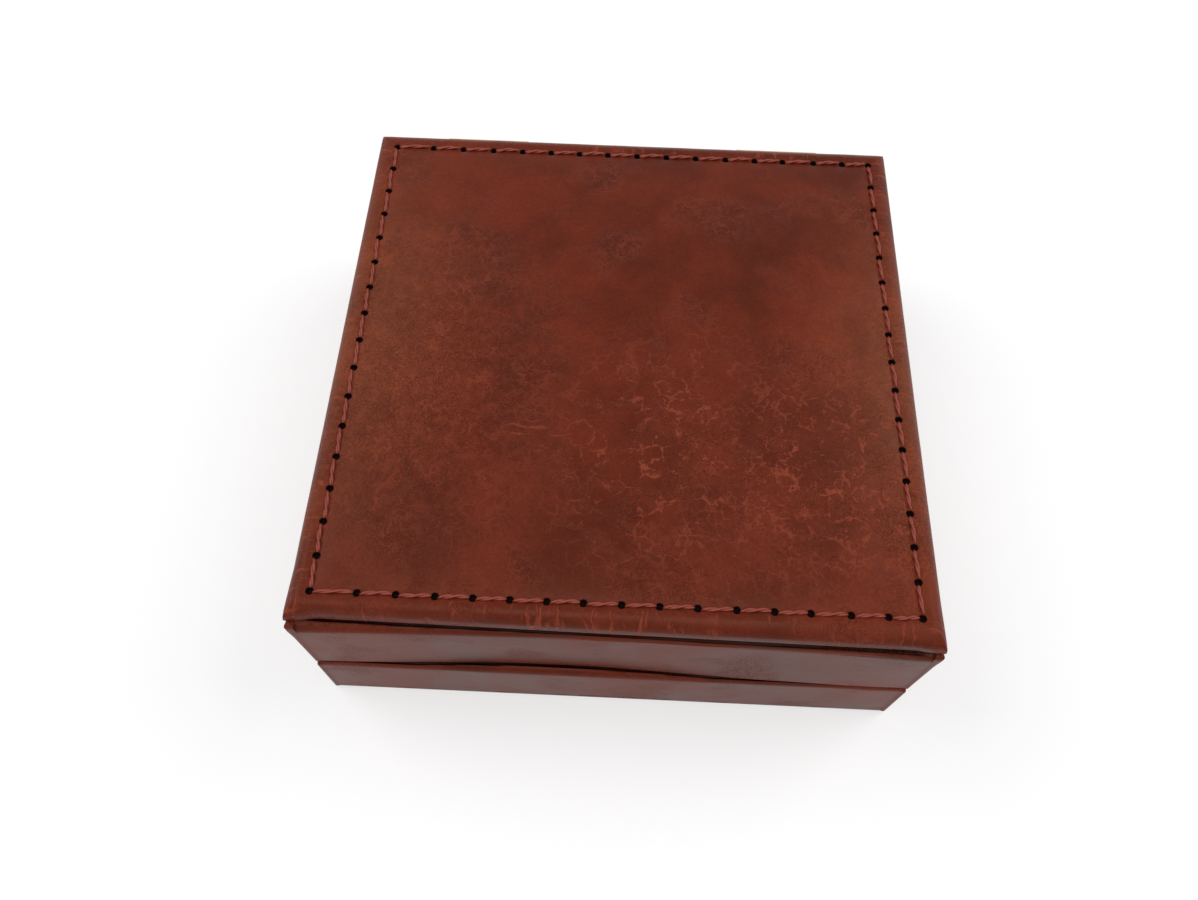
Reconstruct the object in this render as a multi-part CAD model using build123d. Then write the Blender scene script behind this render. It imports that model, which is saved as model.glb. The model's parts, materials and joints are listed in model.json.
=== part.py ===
from build123d import *
import os

# Small leather-covered cufflink box, in millimetres.  +X right, +Y to the back, +Z up, the origin on the
# table at the middle of the overall box.  Three bodies: the case, a thin padded lid hinged at the back, and a
# full-width drawer in the base.

# ---- Overall ----
WIDTH = 100.0                 # across the leather
DEPTH = 101.2                 # drawer front to the back of the case, without the hinge knuckles
HEIGHT = 37.2                 # table to the crown of the lid

# ---- Sheet stock ----
LEATHER = 0.7                 # covering
VELVET = 0.6                  # lining
WALL = 4.0                    # front rail, back and side boards
FLOOR_BOARD = 2.0             # bottom board and compartment floor
BASE_PAD = 0.8                # felt under the case
BASE_PAD_INSET = 1.6

# ---- Front of the case ----
FLOOR_GAP = 0.4               # table to the drawer front
DRAWER_FRONT_HEIGHT = 14.3
DRAWER_GAP = 0.5              # dark line between the drawer front and the rail
NAIL_GAP = 1.0                # slit under the lid's front edge
CHEEK = 1.2                   # leather that closes the slit at each front corner
DRAWER_PROUD = 0.4            # drawer front ahead of the rail, at the corners
FRONT_BOW = 0.6               # how far the rail's middle lies back from its ends
SHOULDER = 1.5                # rounded upper front edge of rail and drawer front
CORNER = 0.9                  # upright corners of the leather
TOP_EDGE = 0.35               # leather turned over the walls

# ---- Lid ----
LID_HEIGHT = 4.0
LID_SETBACK = 1.0             # lid's front edge behind the rail's face
LID_BOARD = 1.8
LID_CORNER = 1.4              # plan corners
LID_ROLL = 1.25               # rounded rim, above
LID_HEM = 0.4                 # bevelled rim, below
LID_CROWN = 0.3               # rise of the padded field over the rim
SEAM_INSET = 3.6              # stitch line from the lid's edge
SEAM_WIDTH = 1.7              # sunken channel that holds the stitches
SEAM_FLOOR = 0.6              # leather left under the channel
STITCH_PITCH = 5.75           # wished-for distance between needle holes
NEEDLE_HOLE = 1.15            # across the awl's corners
NEEDLE_SIDES = 6
THREAD_WIDTH = 0.8
THREAD_HEIGHT = 0.5
LID_LINING_DROP = 0.6         # lining panel below the lid's hem
LID_LINING_CLEAR = 1.0        # lining panel to the compartment walls
FIELD_EDGE = 0.2              # softened edge of the field and the rim beside the channel

# ---- Hinges ----
HINGE_LENGTH = 16.0
HINGE_INSET = 21.0            # hinge centre from the side of the box
KNUCKLE_R = 1.1
PIN_R = 0.5
PIN_CLEAR = 0.03
KNUCKLE_CLEAR = 0.1           # knuckle to the back of the case, and between knuckles
LEAF = 0.5                    # sheet thickness
LEAF_PLAY = 0.05              # each leaf back from the plane where lid and case meet
LEAF_REACH = 3.5              # leaf from the back of the case inwards
LEAF_CLEAR = 0.1              # leaf to the edge of its recess
NAIL_R = 0.6
NAIL_CLEAR = 0.05
NAIL_SPREAD = 4.8             # nail from the middle of its hinge
NAIL_REACH = 2.3              # nail line from the back of the case
CASE_NAIL_LENGTH = 4.0
LID_NAIL_LENGTH = 2.0

# ---- Magnets ----
MAGNET_LENGTH = 8.0
MAGNET_WIDTH = 2.4
MAGNET_CLEAR = 0.05
MAGNET_INSET = 0.35           # magnet to the back of the rail
MAGNET_SINK = 0.1             # magnet under the rail's top
RAIL_MAGNET_DEPTH = 2.0
LID_MAGNET_DEPTH = 1.4
MAGNET_SIDE = 18.0            # magnet centre from the side of the box

# ---- Cushion rolls ----
ROLL_COUNT = 4
ROLL_HEIGHT = 9.6
ROLL_GAP = 0.3
ROLL_CROWN = 0.5              # fall from the middle to the ends
ROLL_END = 3.2                # rounded length at each end
ROLL_TUCK = 1.1               # how far the sides draw in under the bulge
ROLL_BULGE = 3.6              # height of the widest line

# ---- Drawer ----
DRAWER_FRONT_BOARD = 2.6
DRAWER_BOARD = 2.0            # sides and back
DRAWER_BOTTOM = 1.6
DRAWER_SIDE_GAP = 0.5
DRAWER_TOP_GAP = 0.8
DRAWER_RUN_GAP = 0.2          # under the drawer
DRAWER_REAR_GAP = 0.8
DRAWER_SEAT_GAP = 0.4         # drawer front to the leather on the case

# ---- Levels and planes that follow ----
knuckle_out = 2 * KNUCKLE_R + KNUCKLE_CLEAR
front = -(DEPTH + knuckle_out) / 2            # face of the drawer front
back = front + DEPTH                          # leather at the back of the case
half = WIDTH / 2
case_front = front + DRAWER_PROUD
lid_front = case_front + LID_SETBACK
lid_seat = HEIGHT - LID_HEIGHT

rail_front = case_front + LEATHER             # rail board, at its ends
rail_back = rail_front + WALL
wall_back = back - LEATHER
wall_inner = wall_back - WALL
board_half = half - LEATHER
inner_half = board_half - WALL
rail_bottom = FLOOR_GAP + DRAWER_FRONT_HEIGHT + DRAWER_GAP
rail_top = lid_seat - NAIL_GAP
wall_top = lid_seat - LEATHER
rail_board_top = rail_top - LEATHER
bay_floor = BASE_PAD + FLOOR_BOARD
shelf_top = rail_bottom + FLOOR_BOARD

room_half = inner_half - VELVET               # clear inside of the compartment
room_front = rail_back + VELVET
room_back = wall_inner - VELVET
room_floor = shelf_top + VELVET

lid_board_bottom = lid_seat + LEATHER
lid_board_top = lid_board_bottom + LID_BOARD
seam_floor = lid_board_top + SEAM_FLOOR
rim_top = HEIGHT - LID_CROWN
seam_half = half - SEAM_INSET
seam_front = lid_front + SEAM_INSET
seam_back = back - SEAM_INSET
lining_half = room_half - LID_LINING_CLEAR
lining_front = room_front + LID_LINING_CLEAR
lining_back = room_back - LID_LINING_CLEAR

hinge_y = back + KNUCKLE_CLEAR + KNUCKLE_R
leaf_front = back - LEAF_REACH
nail_y = back - NAIL_REACH
knuckle_length = (HINGE_LENGTH - 2 * KNUCKLE_CLEAR) / 3
magnet_y = rail_back - MAGNET_INSET - MAGNET_WIDTH / 2
rail_magnet_top = rail_board_top - MAGNET_SINK

drawer_front_back = front + DRAWER_FRONT_BOARD + 2 * LEATHER
drawer_front_top = FLOOR_GAP + DRAWER_FRONT_HEIGHT
drawer_half = inner_half - DRAWER_SIDE_GAP
drawer_floor = bay_floor + DRAWER_RUN_GAP
drawer_top = rail_bottom - DRAWER_TOP_GAP
drawer_rear = wall_inner - DRAWER_REAR_GAP
cover_rear_of_front = drawer_front_back + DRAWER_SEAT_GAP   # leather on the side walls' front ends


def block(x0, x1, y0, y1, z0, z1):
    """Rectangular block between two opposite corners."""
    middle = Pos((x0 + x1) / 2, (y0 + y1) / 2, (z0 + z1) / 2)
    return middle * Box(x1 - x0, y1 - y0, z1 - z0)


def bowed_block(half_width, y0, y1, z0, z1, bow):
    """Block whose front face is a shallow arc, bow deep in the middle."""
    outline = [
        ThreePointArc((-half_width, y0), (0, y0 + bow), (half_width, y0)),
        Line((half_width, y0), (half_width, y1)),
        Line((half_width, y1), (-half_width, y1)),
        Line((-half_width, y1), (-half_width, y0)),
    ]
    return Pos(0, 0, z0) * extrude(make_face(outline), z1 - z0)


def upright_edges(solid):
    return solid.edges().filter_by(Axis.Z)


def front_top_edge(solid):
    """The long edge at the front of the solid's top face."""
    return solid.faces().sort_by(Axis.Z)[-1].edges().sort_by(Axis.Y)[0]


# ---------------------------------------------------------------- case boards
def base_pad():
    return block(-half + BASE_PAD_INSET, half - BASE_PAD_INSET,
                 cover_rear_of_front + LEATHER, back - BASE_PAD_INSET, 0, BASE_PAD)


def bottom_board():
    return block(-inner_half, inner_half, rail_back, wall_inner, BASE_PAD, bay_floor)


def side_wall(side):
    """Side board between the rail and the back; it ends behind the drawer front."""
    inner, outer = sorted((side * inner_half, side * board_half))
    upper = block(inner, outer, rail_back, wall_inner, rail_bottom, wall_top)
    lower = block(inner, outer, cover_rear_of_front + LEATHER, wall_inner, BASE_PAD, rail_bottom)
    return upper + lower


def rail_form(bottom, top, half_width, y0, radius):
    """Bowed bar with a rounded upper front edge."""
    bar = bowed_block(half_width, y0, rail_back, bottom, top, FRONT_BOW)
    return fillet(front_top_edge(bar), radius)


def front_rail():
    bar = rail_form(rail_bottom + LEATHER, rail_board_top, board_half, rail_front, SHOULDER - LEATHER)
    return bar - magnet_bars(rail_magnet_top - RAIL_MAGNET_DEPTH, rail_board_top, MAGNET_CLEAR)


def back_wall():
    wall = block(-board_half, board_half, wall_inner, wall_back, BASE_PAD, wall_top)
    return wall - nail_holes(lid_seat - LEAF_PLAY - CASE_NAIL_LENGTH, wall_top)


def compartment_floor():
    return block(-inner_half, inner_half, rail_back, wall_inner, rail_bottom, shelf_top)


# ---------------------------------------------------------------- case covering and lining
def case_cover():
    """One skin: sides, back and rail, turned over the tops of the walls and under the rail."""
    skin = bowed_block(half, case_front, back, BASE_PAD, lid_seat, FRONT_BOW)
    skin = fillet(upright_edges(skin), CORNER)
    skin = chamfer(skin.faces().sort_by(Axis.Z)[-1].edges(), TOP_EDGE)
    skin -= block(-half, half, front, cover_rear_of_front, 0, rail_bottom)
    skin -= nail_slit()
    skin -= rail_form(rail_bottom + LEATHER, rail_board_top, board_half, rail_front, SHOULDER - LEATHER)
    skin -= block(-board_half, board_half, rail_back, wall_back, rail_bottom, wall_top)
    skin -= block(-board_half, board_half, cover_rear_of_front + LEATHER, wall_back, 0, rail_bottom)
    skin -= block(-inner_half, inner_half, cover_rear_of_front, wall_back, 0, rail_bottom)
    skin -= block(-room_half, room_half, room_front, room_back, rail_bottom, lid_seat)
    skin += turned_edge()
    return skin - leaf_recesses(lid_seat - LEAF_PLAY - LEAF, lid_seat) - nail_holes(wall_top, lid_seat)


def turned_edge():
    """Leather turned down inside the compartment until it meets the lining."""
    outer = block(-inner_half, inner_half, rail_back, wall_inner, rail_board_top, wall_top)
    outer -= block(-room_half, room_half, room_front, room_back, rail_board_top, wall_top)
    return outer - block(-room_half, room_half, rail_back, room_front, rail_top, wall_top)


def nail_slit():
    """Space over the rail between the two corner cheeks, with the rail's rounded shoulder left below it."""
    space = block(-half + CHEEK, half - CHEEK, front, room_front, rail_top - SHOULDER, lid_seat)
    return space - rail_form(rail_bottom, rail_top, half, case_front, SHOULDER) - \
        block(-half, half, rail_back, room_front, rail_bottom, rail_top)


def compartment_lining():
    tray = block(-inner_half, inner_half, rail_back, wall_inner, shelf_top, rail_board_top)
    return tray - block(-room_half, room_half, room_front, room_back, room_floor, rail_board_top)


# ---------------------------------------------------------------- cushion rolls
def roll_side(depth):
    """Section across a roll: flat below, tucked in at the foot, round above."""
    reach = depth / 2
    outline = [
        Line((-reach + ROLL_TUCK, 0), (reach - ROLL_TUCK, 0)),
        ThreePointArc((reach - ROLL_TUCK, 0), (reach - ROLL_TUCK / 4, ROLL_BULGE / 2), (reach, ROLL_BULGE)),
        ThreePointArc((reach, ROLL_BULGE), (0, ROLL_HEIGHT), (-reach, ROLL_BULGE)),
        ThreePointArc((-reach, ROLL_BULGE), (-reach + ROLL_TUCK / 4, ROLL_BULGE / 2), (-reach + ROLL_TUCK, 0)),
    ]
    return make_face(outline)


def roll_length(reach):
    """Section along a roll: crowned above, with rounded ends."""
    shoulder = ROLL_HEIGHT - ROLL_CROWN
    turn = ROLL_END * 0.29                    # rise of a quarter round over its chord's middle
    right = (reach - turn, shoulder - turn)
    left = (-reach + turn, shoulder - turn)
    outline = [
        Line((-reach, 0), (reach, 0)),
        Line((reach, 0), (reach, shoulder - ROLL_END)),
        ThreePointArc((reach, shoulder - ROLL_END), right, (reach - ROLL_END, shoulder)),
        ThreePointArc((reach - ROLL_END, shoulder), (0, ROLL_HEIGHT), (-reach + ROLL_END, shoulder)),
        ThreePointArc((-reach + ROLL_END, shoulder), left, (-reach, shoulder - ROLL_END)),
        Line((-reach, shoulder - ROLL_END), (-reach, 0)),
    ]
    return make_face(outline)


def cushion_roll(number):
    """One padded roll; neighbouring rolls pinch a cufflink's bar between them."""
    depth = (room_back - room_front - (ROLL_COUNT + 1) * ROLL_GAP) / ROLL_COUNT
    reach = room_half - ROLL_GAP
    across = extrude(Plane.YZ * roll_side(depth), reach, both=True)
    along = extrude(Plane.XZ * roll_length(reach), depth, both=True)
    y = room_front + ROLL_GAP + depth / 2 + number * (depth + ROLL_GAP)
    return Pos(0, y, room_floor) * (across & along)


# ---------------------------------------------------------------- lid
def lid_blank():
    """Outer form of the lid with its rolled rim."""
    blank = block(-half, half, lid_front, back, lid_seat, rim_top)
    blank = fillet(upright_edges(blank), LID_CORNER)
    blank = fillet(blank.faces().sort_by(Axis.Z)[-1].edges(), LID_ROLL)
    return chamfer(blank.faces().sort_by(Axis.Z)[0].edges(), LID_HEM)


def crowned_pad(margin, bottom, top, crown):
    """Flat-bottomed pad inside the seam, its top crowned both ways."""
    half_x = seam_half - margin
    half_y = (seam_back - seam_front) / 2 - margin

    def section(reach):
        outline = [
            Line((-reach, bottom), (reach, bottom)),
            Line((reach, bottom), (reach, top)),
            ThreePointArc((reach, top), (0, top + crown), (-reach, top)),
            Line((-reach, top), (-reach, bottom)),
        ]
        return make_face(outline)

    across = extrude(Plane.XZ * section(half_x), half_y, both=True)
    along = extrude(Plane.YZ * section(half_y), half_x, both=True)
    return Pos(0, (seam_front + seam_back) / 2, 0) * (across & along)


def lid_foam():
    return crowned_pad(SEAM_WIDTH / 2 + LEATHER, lid_board_top, rim_top - LEATHER, LID_CROWN)


def lid_cover():
    """Top leather: rolled rim, sunken seam, crowned field, needle holes and the turned-under hem."""
    cover = lid_blank()
    reach = SEAM_WIDTH / 2
    cover -= block(-seam_half - reach, seam_half + reach, seam_front - reach, seam_back + reach,
                   seam_floor, HEIGHT)
    inner_rim = cover.faces().sort_by(Axis.Z)[-1].inner_wires()[0]
    cover = fillet(inner_rim.edges(), FIELD_EDGE)
    cover += crowned_pad(reach, seam_floor, rim_top, LID_CROWN)
    cover -= lid_board_blank()
    cover -= lid_foam()
    cover -= lining_panel(lid_seat, lid_board_bottom)
    cover -= needle_holes()
    return cover - leaf_recesses(lid_seat, lid_seat + LEAF_PLAY + LEAF) - nail_holes(lid_seat, lid_board_bottom)


def lid_board_blank():
    board = block(-board_half, board_half, lid_front + LEATHER, back - LEATHER, lid_board_bottom, lid_board_top)
    return fillet(upright_edges(board), LID_CORNER - LEATHER)


def lid_board():
    board = lid_board_blank()
    board -= magnet_bars(lid_board_bottom, lid_board_bottom + LID_MAGNET_DEPTH, MAGNET_CLEAR)
    return board - nail_holes(lid_board_bottom, lid_seat + LEAF_PLAY + LID_NAIL_LENGTH)


def lining_panel(z0, z1):
    return block(-lining_half, lining_half, lining_front, lining_back, z0, z1)


def lid_lining():
    """Padded card under the lid, its lower edge softened."""
    panel = lining_panel(lid_seat - LID_LINING_DROP, lid_board_bottom)
    return fillet(panel.faces().sort_by(Axis.Z)[0].edges(), LID_LINING_DROP / 2)


# ---------------------------------------------------------------- seam
def seam_points():
    """Needle holes in order round the lid, one at each corner."""
    corners = [(-seam_half, seam_front), (seam_half, seam_front), (seam_half, seam_back), (-seam_half, seam_back)]
    points = []
    for start, end in zip(corners, corners[1:] + corners[:1]):
        length = abs(end[0] - start[0]) + abs(end[1] - start[1])
        count = round(length / STITCH_PITCH)
        for step in range(count):
            share = step / count
            points.append((start[0] + share * (end[0] - start[0]), start[1] + share * (end[1] - start[1])))
    return points


def needle_holes():
    drill = extrude(RegularPolygon(NEEDLE_HOLE / 2, NEEDLE_SIDES), HEIGHT - lid_board_top)
    return [Pos(x, y, lid_board_top) * drill for x, y in seam_points()]


def stitch(start, end):
    """Waxed thread between two needle holes, pulled flat on the leather and faceted above."""
    reach = THREAD_WIDTH / 2
    length = abs(end[0] - start[0]) + abs(end[1] - start[1]) - NEEDLE_HOLE
    flank = THREAD_HEIGHT / 2
    section = make_face(Polyline((-reach, 0), (reach, 0), (reach, flank), (reach / 2, THREAD_HEIGHT),
                                 (-reach / 2, THREAD_HEIGHT), (-reach, flank), close=True))
    bar = extrude(Plane.YZ * section, length / 2, both=True)
    turn = 0 if start[1] == end[1] else 90
    return Pos((start[0] + end[0]) / 2, (start[1] + end[1]) / 2, seam_floor) * Rot(0, 0, turn) * bar


def lid_thread():
    points = seam_points()
    return [stitch(a, b) for a, b in zip(points, points[1:] + points[:1])]


# ---------------------------------------------------------------- hinges, nails and magnets
def hinge_places():
    return [HINGE_INSET - half, half - HINGE_INSET]


def leaf_recesses(z0, z1):
    reach = HINGE_LENGTH / 2 + LEAF_CLEAR
    return [block(x - reach, x + reach, leaf_front - LEAF_CLEAR, back, z0, z1) for x in hinge_places()]


def nail_places():
    return [(x + side * NAIL_SPREAD, nail_y) for x in hinge_places() for side in (-1, 1)]


def nail_holes(z0, z1):
    drill = Cylinder(NAIL_R + NAIL_CLEAR, z1 - z0)
    return [Pos(x, y, (z0 + z1) / 2) * drill for x, y in nail_places()]


def nails(direction, length):
    """Four nails flush with the leaves; direction +1 drives them down into the case, -1 up into the lid."""
    nail = Cylinder(NAIL_R, length)
    middle = lid_seat - direction * (LEAF_PLAY + length / 2)
    return [Pos(x, y, middle) * nail for x, y in nail_places()]


def hinge_leaf(x, direction):
    """Leaf and its knuckles: direction +1 is the case's leaf with two, -1 the lid's with one between them."""
    z0, z1 = sorted((lid_seat - direction * LEAF_PLAY, lid_seat - direction * (LEAF_PLAY + LEAF)))
    step = knuckle_length + KNUCKLE_CLEAR
    places = (-step, step) if direction > 0 else (0,)
    leaf = block(x - HINGE_LENGTH / 2, x + HINGE_LENGTH / 2, leaf_front, back, z0, z1)
    leaf = chamfer(leaf.edges().filter_by(Axis.Z).group_by(Axis.Y)[0], LEAF)
    for place in places:
        middle = x + place
        leaf += block(middle - knuckle_length / 2, middle + knuckle_length / 2, back, hinge_y, z0, z1)
        leaf += Pos(middle, hinge_y, lid_seat) * Rot(0, 90, 0) * Cylinder(KNUCKLE_R, knuckle_length)
    leaf -= Pos(x, hinge_y, lid_seat) * Rot(0, 90, 0) * Cylinder(PIN_R + PIN_CLEAR, HINGE_LENGTH)
    return leaf - nail_holes(z0, z1)


def hinge_pin(x):
    """Pin, cut flush with the outer knuckles."""
    return Pos(x, hinge_y, lid_seat) * Rot(0, 90, 0) * Cylinder(PIN_R, HINGE_LENGTH)


def magnet_places():
    return [(MAGNET_SIDE - half, magnet_y), (half - MAGNET_SIDE, magnet_y)]


def magnet_bars(z0, z1, clear):
    bar = Box(MAGNET_LENGTH + 2 * clear, MAGNET_WIDTH + 2 * clear, z1 - z0)
    return [Pos(x, y, (z0 + z1) / 2) * bar for x, y in magnet_places()]


# ---------------------------------------------------------------- drawer
def front_panel(inset):
    """Drawer front, or the board inside it when inset by the leather."""
    panel = block(-half + inset, half - inset, front + inset, drawer_front_back - inset,
                  FLOOR_GAP + inset, drawer_front_top - inset)
    panel = fillet(upright_edges(panel).group_by(Axis.Y)[0], CORNER - inset) if inset < CORNER else panel
    shoulder = panel.faces().sort_by(Axis.Z)[-1].edges().sort_by(Axis.Y)[0]
    return fillet(shoulder, SHOULDER - inset)


def drawer_front_cover():
    return front_panel(0) - front_panel(LEATHER)


def drawer_side(side):
    inner, outer = sorted((side * (drawer_half - DRAWER_BOARD), side * drawer_half))
    return block(inner, outer, drawer_front_back, drawer_rear, drawer_floor, drawer_top)


def drawer_back():
    reach = drawer_half - DRAWER_BOARD
    return block(-reach, reach, drawer_rear - DRAWER_BOARD, drawer_rear, drawer_floor, drawer_top)


def drawer_bottom():
    reach = drawer_half - DRAWER_BOARD
    return block(-reach, reach, drawer_front_back, drawer_rear - DRAWER_BOARD,
                 drawer_floor, drawer_floor + DRAWER_BOTTOM)


def drawer_lining():
    reach = drawer_half - DRAWER_BOARD
    rear = drawer_rear - DRAWER_BOARD
    base = drawer_floor + DRAWER_BOTTOM
    tray = block(-reach, reach, drawer_front_back, rear, base, drawer_top)
    return tray - block(-reach + VELVET, reach - VELVET, drawer_front_back + VELVET, rear - VELVET,
                        base + VELVET, drawer_top)


# ---------------------------------------------------------------- all pieces, by name
def pieces():
    made = {
        "base_pad": base_pad(),
        "bottom_board": bottom_board(),
        "side_wall_left": side_wall(-1),
        "side_wall_right": side_wall(1),
        "front_rail": front_rail(),
        "back_wall": back_wall(),
        "compartment_floor": compartment_floor(),
        "case_cover": case_cover(),
        "compartment_lining": compartment_lining(),
        "rail_magnets": magnet_bars(rail_magnet_top - RAIL_MAGNET_DEPTH, rail_magnet_top, 0),
        "hinge_nails_case": nails(1, CASE_NAIL_LENGTH),
        "lid_board": lid_board(),
        "lid_foam": lid_foam(),
        "lid_cover": lid_cover(),
        "lid_thread": lid_thread(),
        "lid_lining": lid_lining(),
        "lid_magnets": magnet_bars(lid_board_bottom, lid_board_bottom + LID_MAGNET_DEPTH, 0),
        "hinge_nails_lid": nails(-1, LID_NAIL_LENGTH),
        "drawer_front_board": front_panel(LEATHER),
        "drawer_front_cover": drawer_front_cover(),
        "drawer_side_left": drawer_side(-1),
        "drawer_side_right": drawer_side(1),
        "drawer_back": drawer_back(),
        "drawer_bottom": drawer_bottom(),
        "drawer_lining": drawer_lining(),
    }
    for number in range(ROLL_COUNT):
        made[f"cushion_roll_{number + 1}"] = cushion_roll(number)
    for name, x in zip(("left", "right"), hinge_places()):
        made[f"hinge_leaf_case_{name}"] = hinge_leaf(x, 1)
        made[f"hinge_leaf_lid_{name}"] = hinge_leaf(x, -1)
        made[f"hinge_pin_{name}"] = hinge_pin(x)
    return made


def write_pieces():
    os.makedirs("parts", exist_ok=True)
    for name, piece in pieces().items():
        solid = Compound(piece) if isinstance(piece, list) else piece
        export_step(solid, f"parts/{name}.step")


write_pieces()
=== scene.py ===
import functools
import json
import math

import bmesh
import bpy
import numpy as np
from bpy.props import FloatProperty, FloatVectorProperty, IntProperty, PointerProperty
from mathutils import Matrix, Vector


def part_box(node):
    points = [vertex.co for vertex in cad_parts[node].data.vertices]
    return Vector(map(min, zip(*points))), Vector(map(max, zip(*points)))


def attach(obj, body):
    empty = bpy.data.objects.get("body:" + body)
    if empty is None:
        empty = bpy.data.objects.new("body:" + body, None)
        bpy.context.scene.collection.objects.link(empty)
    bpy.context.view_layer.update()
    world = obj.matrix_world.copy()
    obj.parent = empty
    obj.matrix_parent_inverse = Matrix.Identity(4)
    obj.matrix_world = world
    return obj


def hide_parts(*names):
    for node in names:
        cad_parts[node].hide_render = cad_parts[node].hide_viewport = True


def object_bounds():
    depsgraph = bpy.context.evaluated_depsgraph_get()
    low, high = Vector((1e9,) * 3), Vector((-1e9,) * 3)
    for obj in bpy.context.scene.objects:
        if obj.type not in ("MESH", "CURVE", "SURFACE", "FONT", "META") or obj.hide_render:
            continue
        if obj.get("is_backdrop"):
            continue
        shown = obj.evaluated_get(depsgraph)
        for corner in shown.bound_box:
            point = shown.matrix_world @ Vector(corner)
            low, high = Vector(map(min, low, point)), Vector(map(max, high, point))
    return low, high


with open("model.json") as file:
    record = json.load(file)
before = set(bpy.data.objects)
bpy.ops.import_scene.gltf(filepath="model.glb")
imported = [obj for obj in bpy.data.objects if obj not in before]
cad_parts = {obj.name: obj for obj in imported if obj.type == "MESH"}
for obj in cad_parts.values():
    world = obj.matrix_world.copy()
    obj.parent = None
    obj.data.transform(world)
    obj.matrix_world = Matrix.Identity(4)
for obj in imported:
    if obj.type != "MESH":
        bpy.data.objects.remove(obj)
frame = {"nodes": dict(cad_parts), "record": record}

bl_info = {
    "name": "Cufflink box",
    "version": (1, 0, 0),
    "blender": (4, 5, 0),
    "location": "View3D > Sidebar > Cufflink box",
    "description": "Leather, thread, velvet and brass for a cufflink box with a padded lid and a drawer",
    "category": "Object",
}

MM = 0.001
LEATHER_SHEET = 0.7 * MM
CORNER_TURN = 0.9 * MM         # round of the boards' upright corners
SHOULDER = 0.9 * MM            # round of the leather over the drawer front's top edge
SLIT_SHADE_ATTRIBUTE = "painted_slit_shade"            # point attribute: painted shade inside a slit, 0 to 1, by how far the leather lies inside it


@functools.lru_cache(maxsize=None)
def node_box(node):
    """Lowest and highest corners of a CAD node at rest, worked out once."""
    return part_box(node)


# ---------------------------------------------------------------- settings
def length(name, description, millimetres, low=0.0, high=200.0):
    return FloatProperty(name=name, description=description, default=millimetres * MM, min=low * MM,
                         max=high * MM, unit="LENGTH", precision=5)


def share(name, description, default, low=0.0, high=1.0):
    return FloatProperty(name=name, description=description, default=default, min=low, max=high,
                         subtype="FACTOR")


def colour(name, description, rgb):
    return FloatVectorProperty(name=name, description=description, default=rgb, min=0.0, max=1.0, size=3,
                               subtype="COLOR")


class LeatherSettings(bpy.types.PropertyGroup):
    """Colours and grain of the imitation leather."""
    deep: colour("Deep brown", "Leather in its darker patches", (0.084, 0.0120, 0.0050))
    warm: colour("Warm brown", "Leather in its lighter patches", (0.146, 0.0215, 0.0085))
    crackle: colour("Crackle", "Fine wrinkles where the finish has opened", (0.310, 0.0600, 0.0290))
    roughness: share("Roughness", "Roughness of the finish", 0.38)
    patch: length("Patch size", "Width of the darker and lighter patches", 16.0)
    wrinkle: length("Wrinkle size", "Width of the wrinkle cells", 1.55)


class LidSettings(bpy.types.PropertyGroup):
    """Forms of the lid's leather and its seam."""
    seam_inset: length("Seam inset", "Stitch line from the lid's edge", 3.6)
    stitches: IntProperty(name="Stitches a side", description="Stitches along each side", default=16, min=4,
                          max=40)
    hole: length("Needle hole", "Diameter of a needle hole", 1.24)
    thread: length("Thread", "Width of the thread", 0.74)
    channel: length("Seam depth", "How far the seam lies under the rim", 0.36)
    crown: length("Crown", "Rise of the padded field over the rim", 0.3)
    swell: length("Swell", "How far in from the seam the padding swells up", 4.2)
    pucker: length("Pucker", "How far the leather is pulled down at a hole", 0.12)
    ripple: length("Ripple", "Slow unevenness of the padded leather", 0.05)
    roll: length("Rim roll", "Height of the rounded edge", 2.0)
    roll_width: length("Roll width", "Width of the rounded edge", 2.3)
    skew: length("Skew", "How far the front edge runs out of square, end to end", 0.8)
    lobe: length("Corner lobe", "How far the folded front corners stand forward", 0.7)


class FrontSettings(bpy.types.PropertyGroup):
    """Forms of the leather on the case and the drawer front."""
    cell: length("Mesh cell", "Spacing of the mesh on the flat leather", 1.5)
    cheek: length("Cheek", "How far the case's front corners swell under the lid", 0.20)
    edge: length("Soft edge", "Rounding where the leather folds over a board", 0.28)
    bow: length("Bow", "How far the rail's lower edge lies back where it is deepest", 1.43)
    proud: length("Proud", "How far the leather stands out at the ends of the rail", 0.36)
    sink: length("Slit sink", "How far the leather falls away inside the two slits", 0.55)
    waviness: length("Waviness", "Slow unevenness of the glued leather", 0.05)


class InsideSettings(bpy.types.PropertyGroup):
    """Linings, cushions, boards and metal."""
    pad_cell: length("Pad cell", "Mesh cell of the padded velvet", 2.2)
    pad_swell: length("Pad swell", "How far a point of a padded roll may swell", 1.3)
    pad_crown: length("Lid pad crown", "Rise of the padded lining in the lid", 0.7)
    tuck: length("Tuck", "Depth of the gathers at the ends of a roll", 0.28)
    velvet: colour("Velvet", "Pile of the linings and cushion rolls", (0.036, 0.0215, 0.0175))
    board: colour("Board paper", "Paper on the hidden boards", (0.040, 0.022, 0.016))
    brass: colour("Brass", "Hinges and nails", (0.71, 0.50, 0.22))
    felt: colour("Felt", "Pad under the case", (0.015, 0.012, 0.011))


class StageSettings(bpy.types.PropertyGroup):
    """Camera, floor and light."""
    lens: FloatProperty(name="Lens", description="Focal length for a 36 mm sensor", default=28.85, min=10,
                        max=200, unit="CAMERA")
    floor: colour("Floor", "Pale floor", (0.90, 0.90, 0.90))
    sky: FloatProperty(name="Sky", description="Strength of the even light from all round", default=0.20,
                       min=0, max=2)
    lift: share("Floor lift", "How much of the floor's white does not need light", 0.44)


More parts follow.
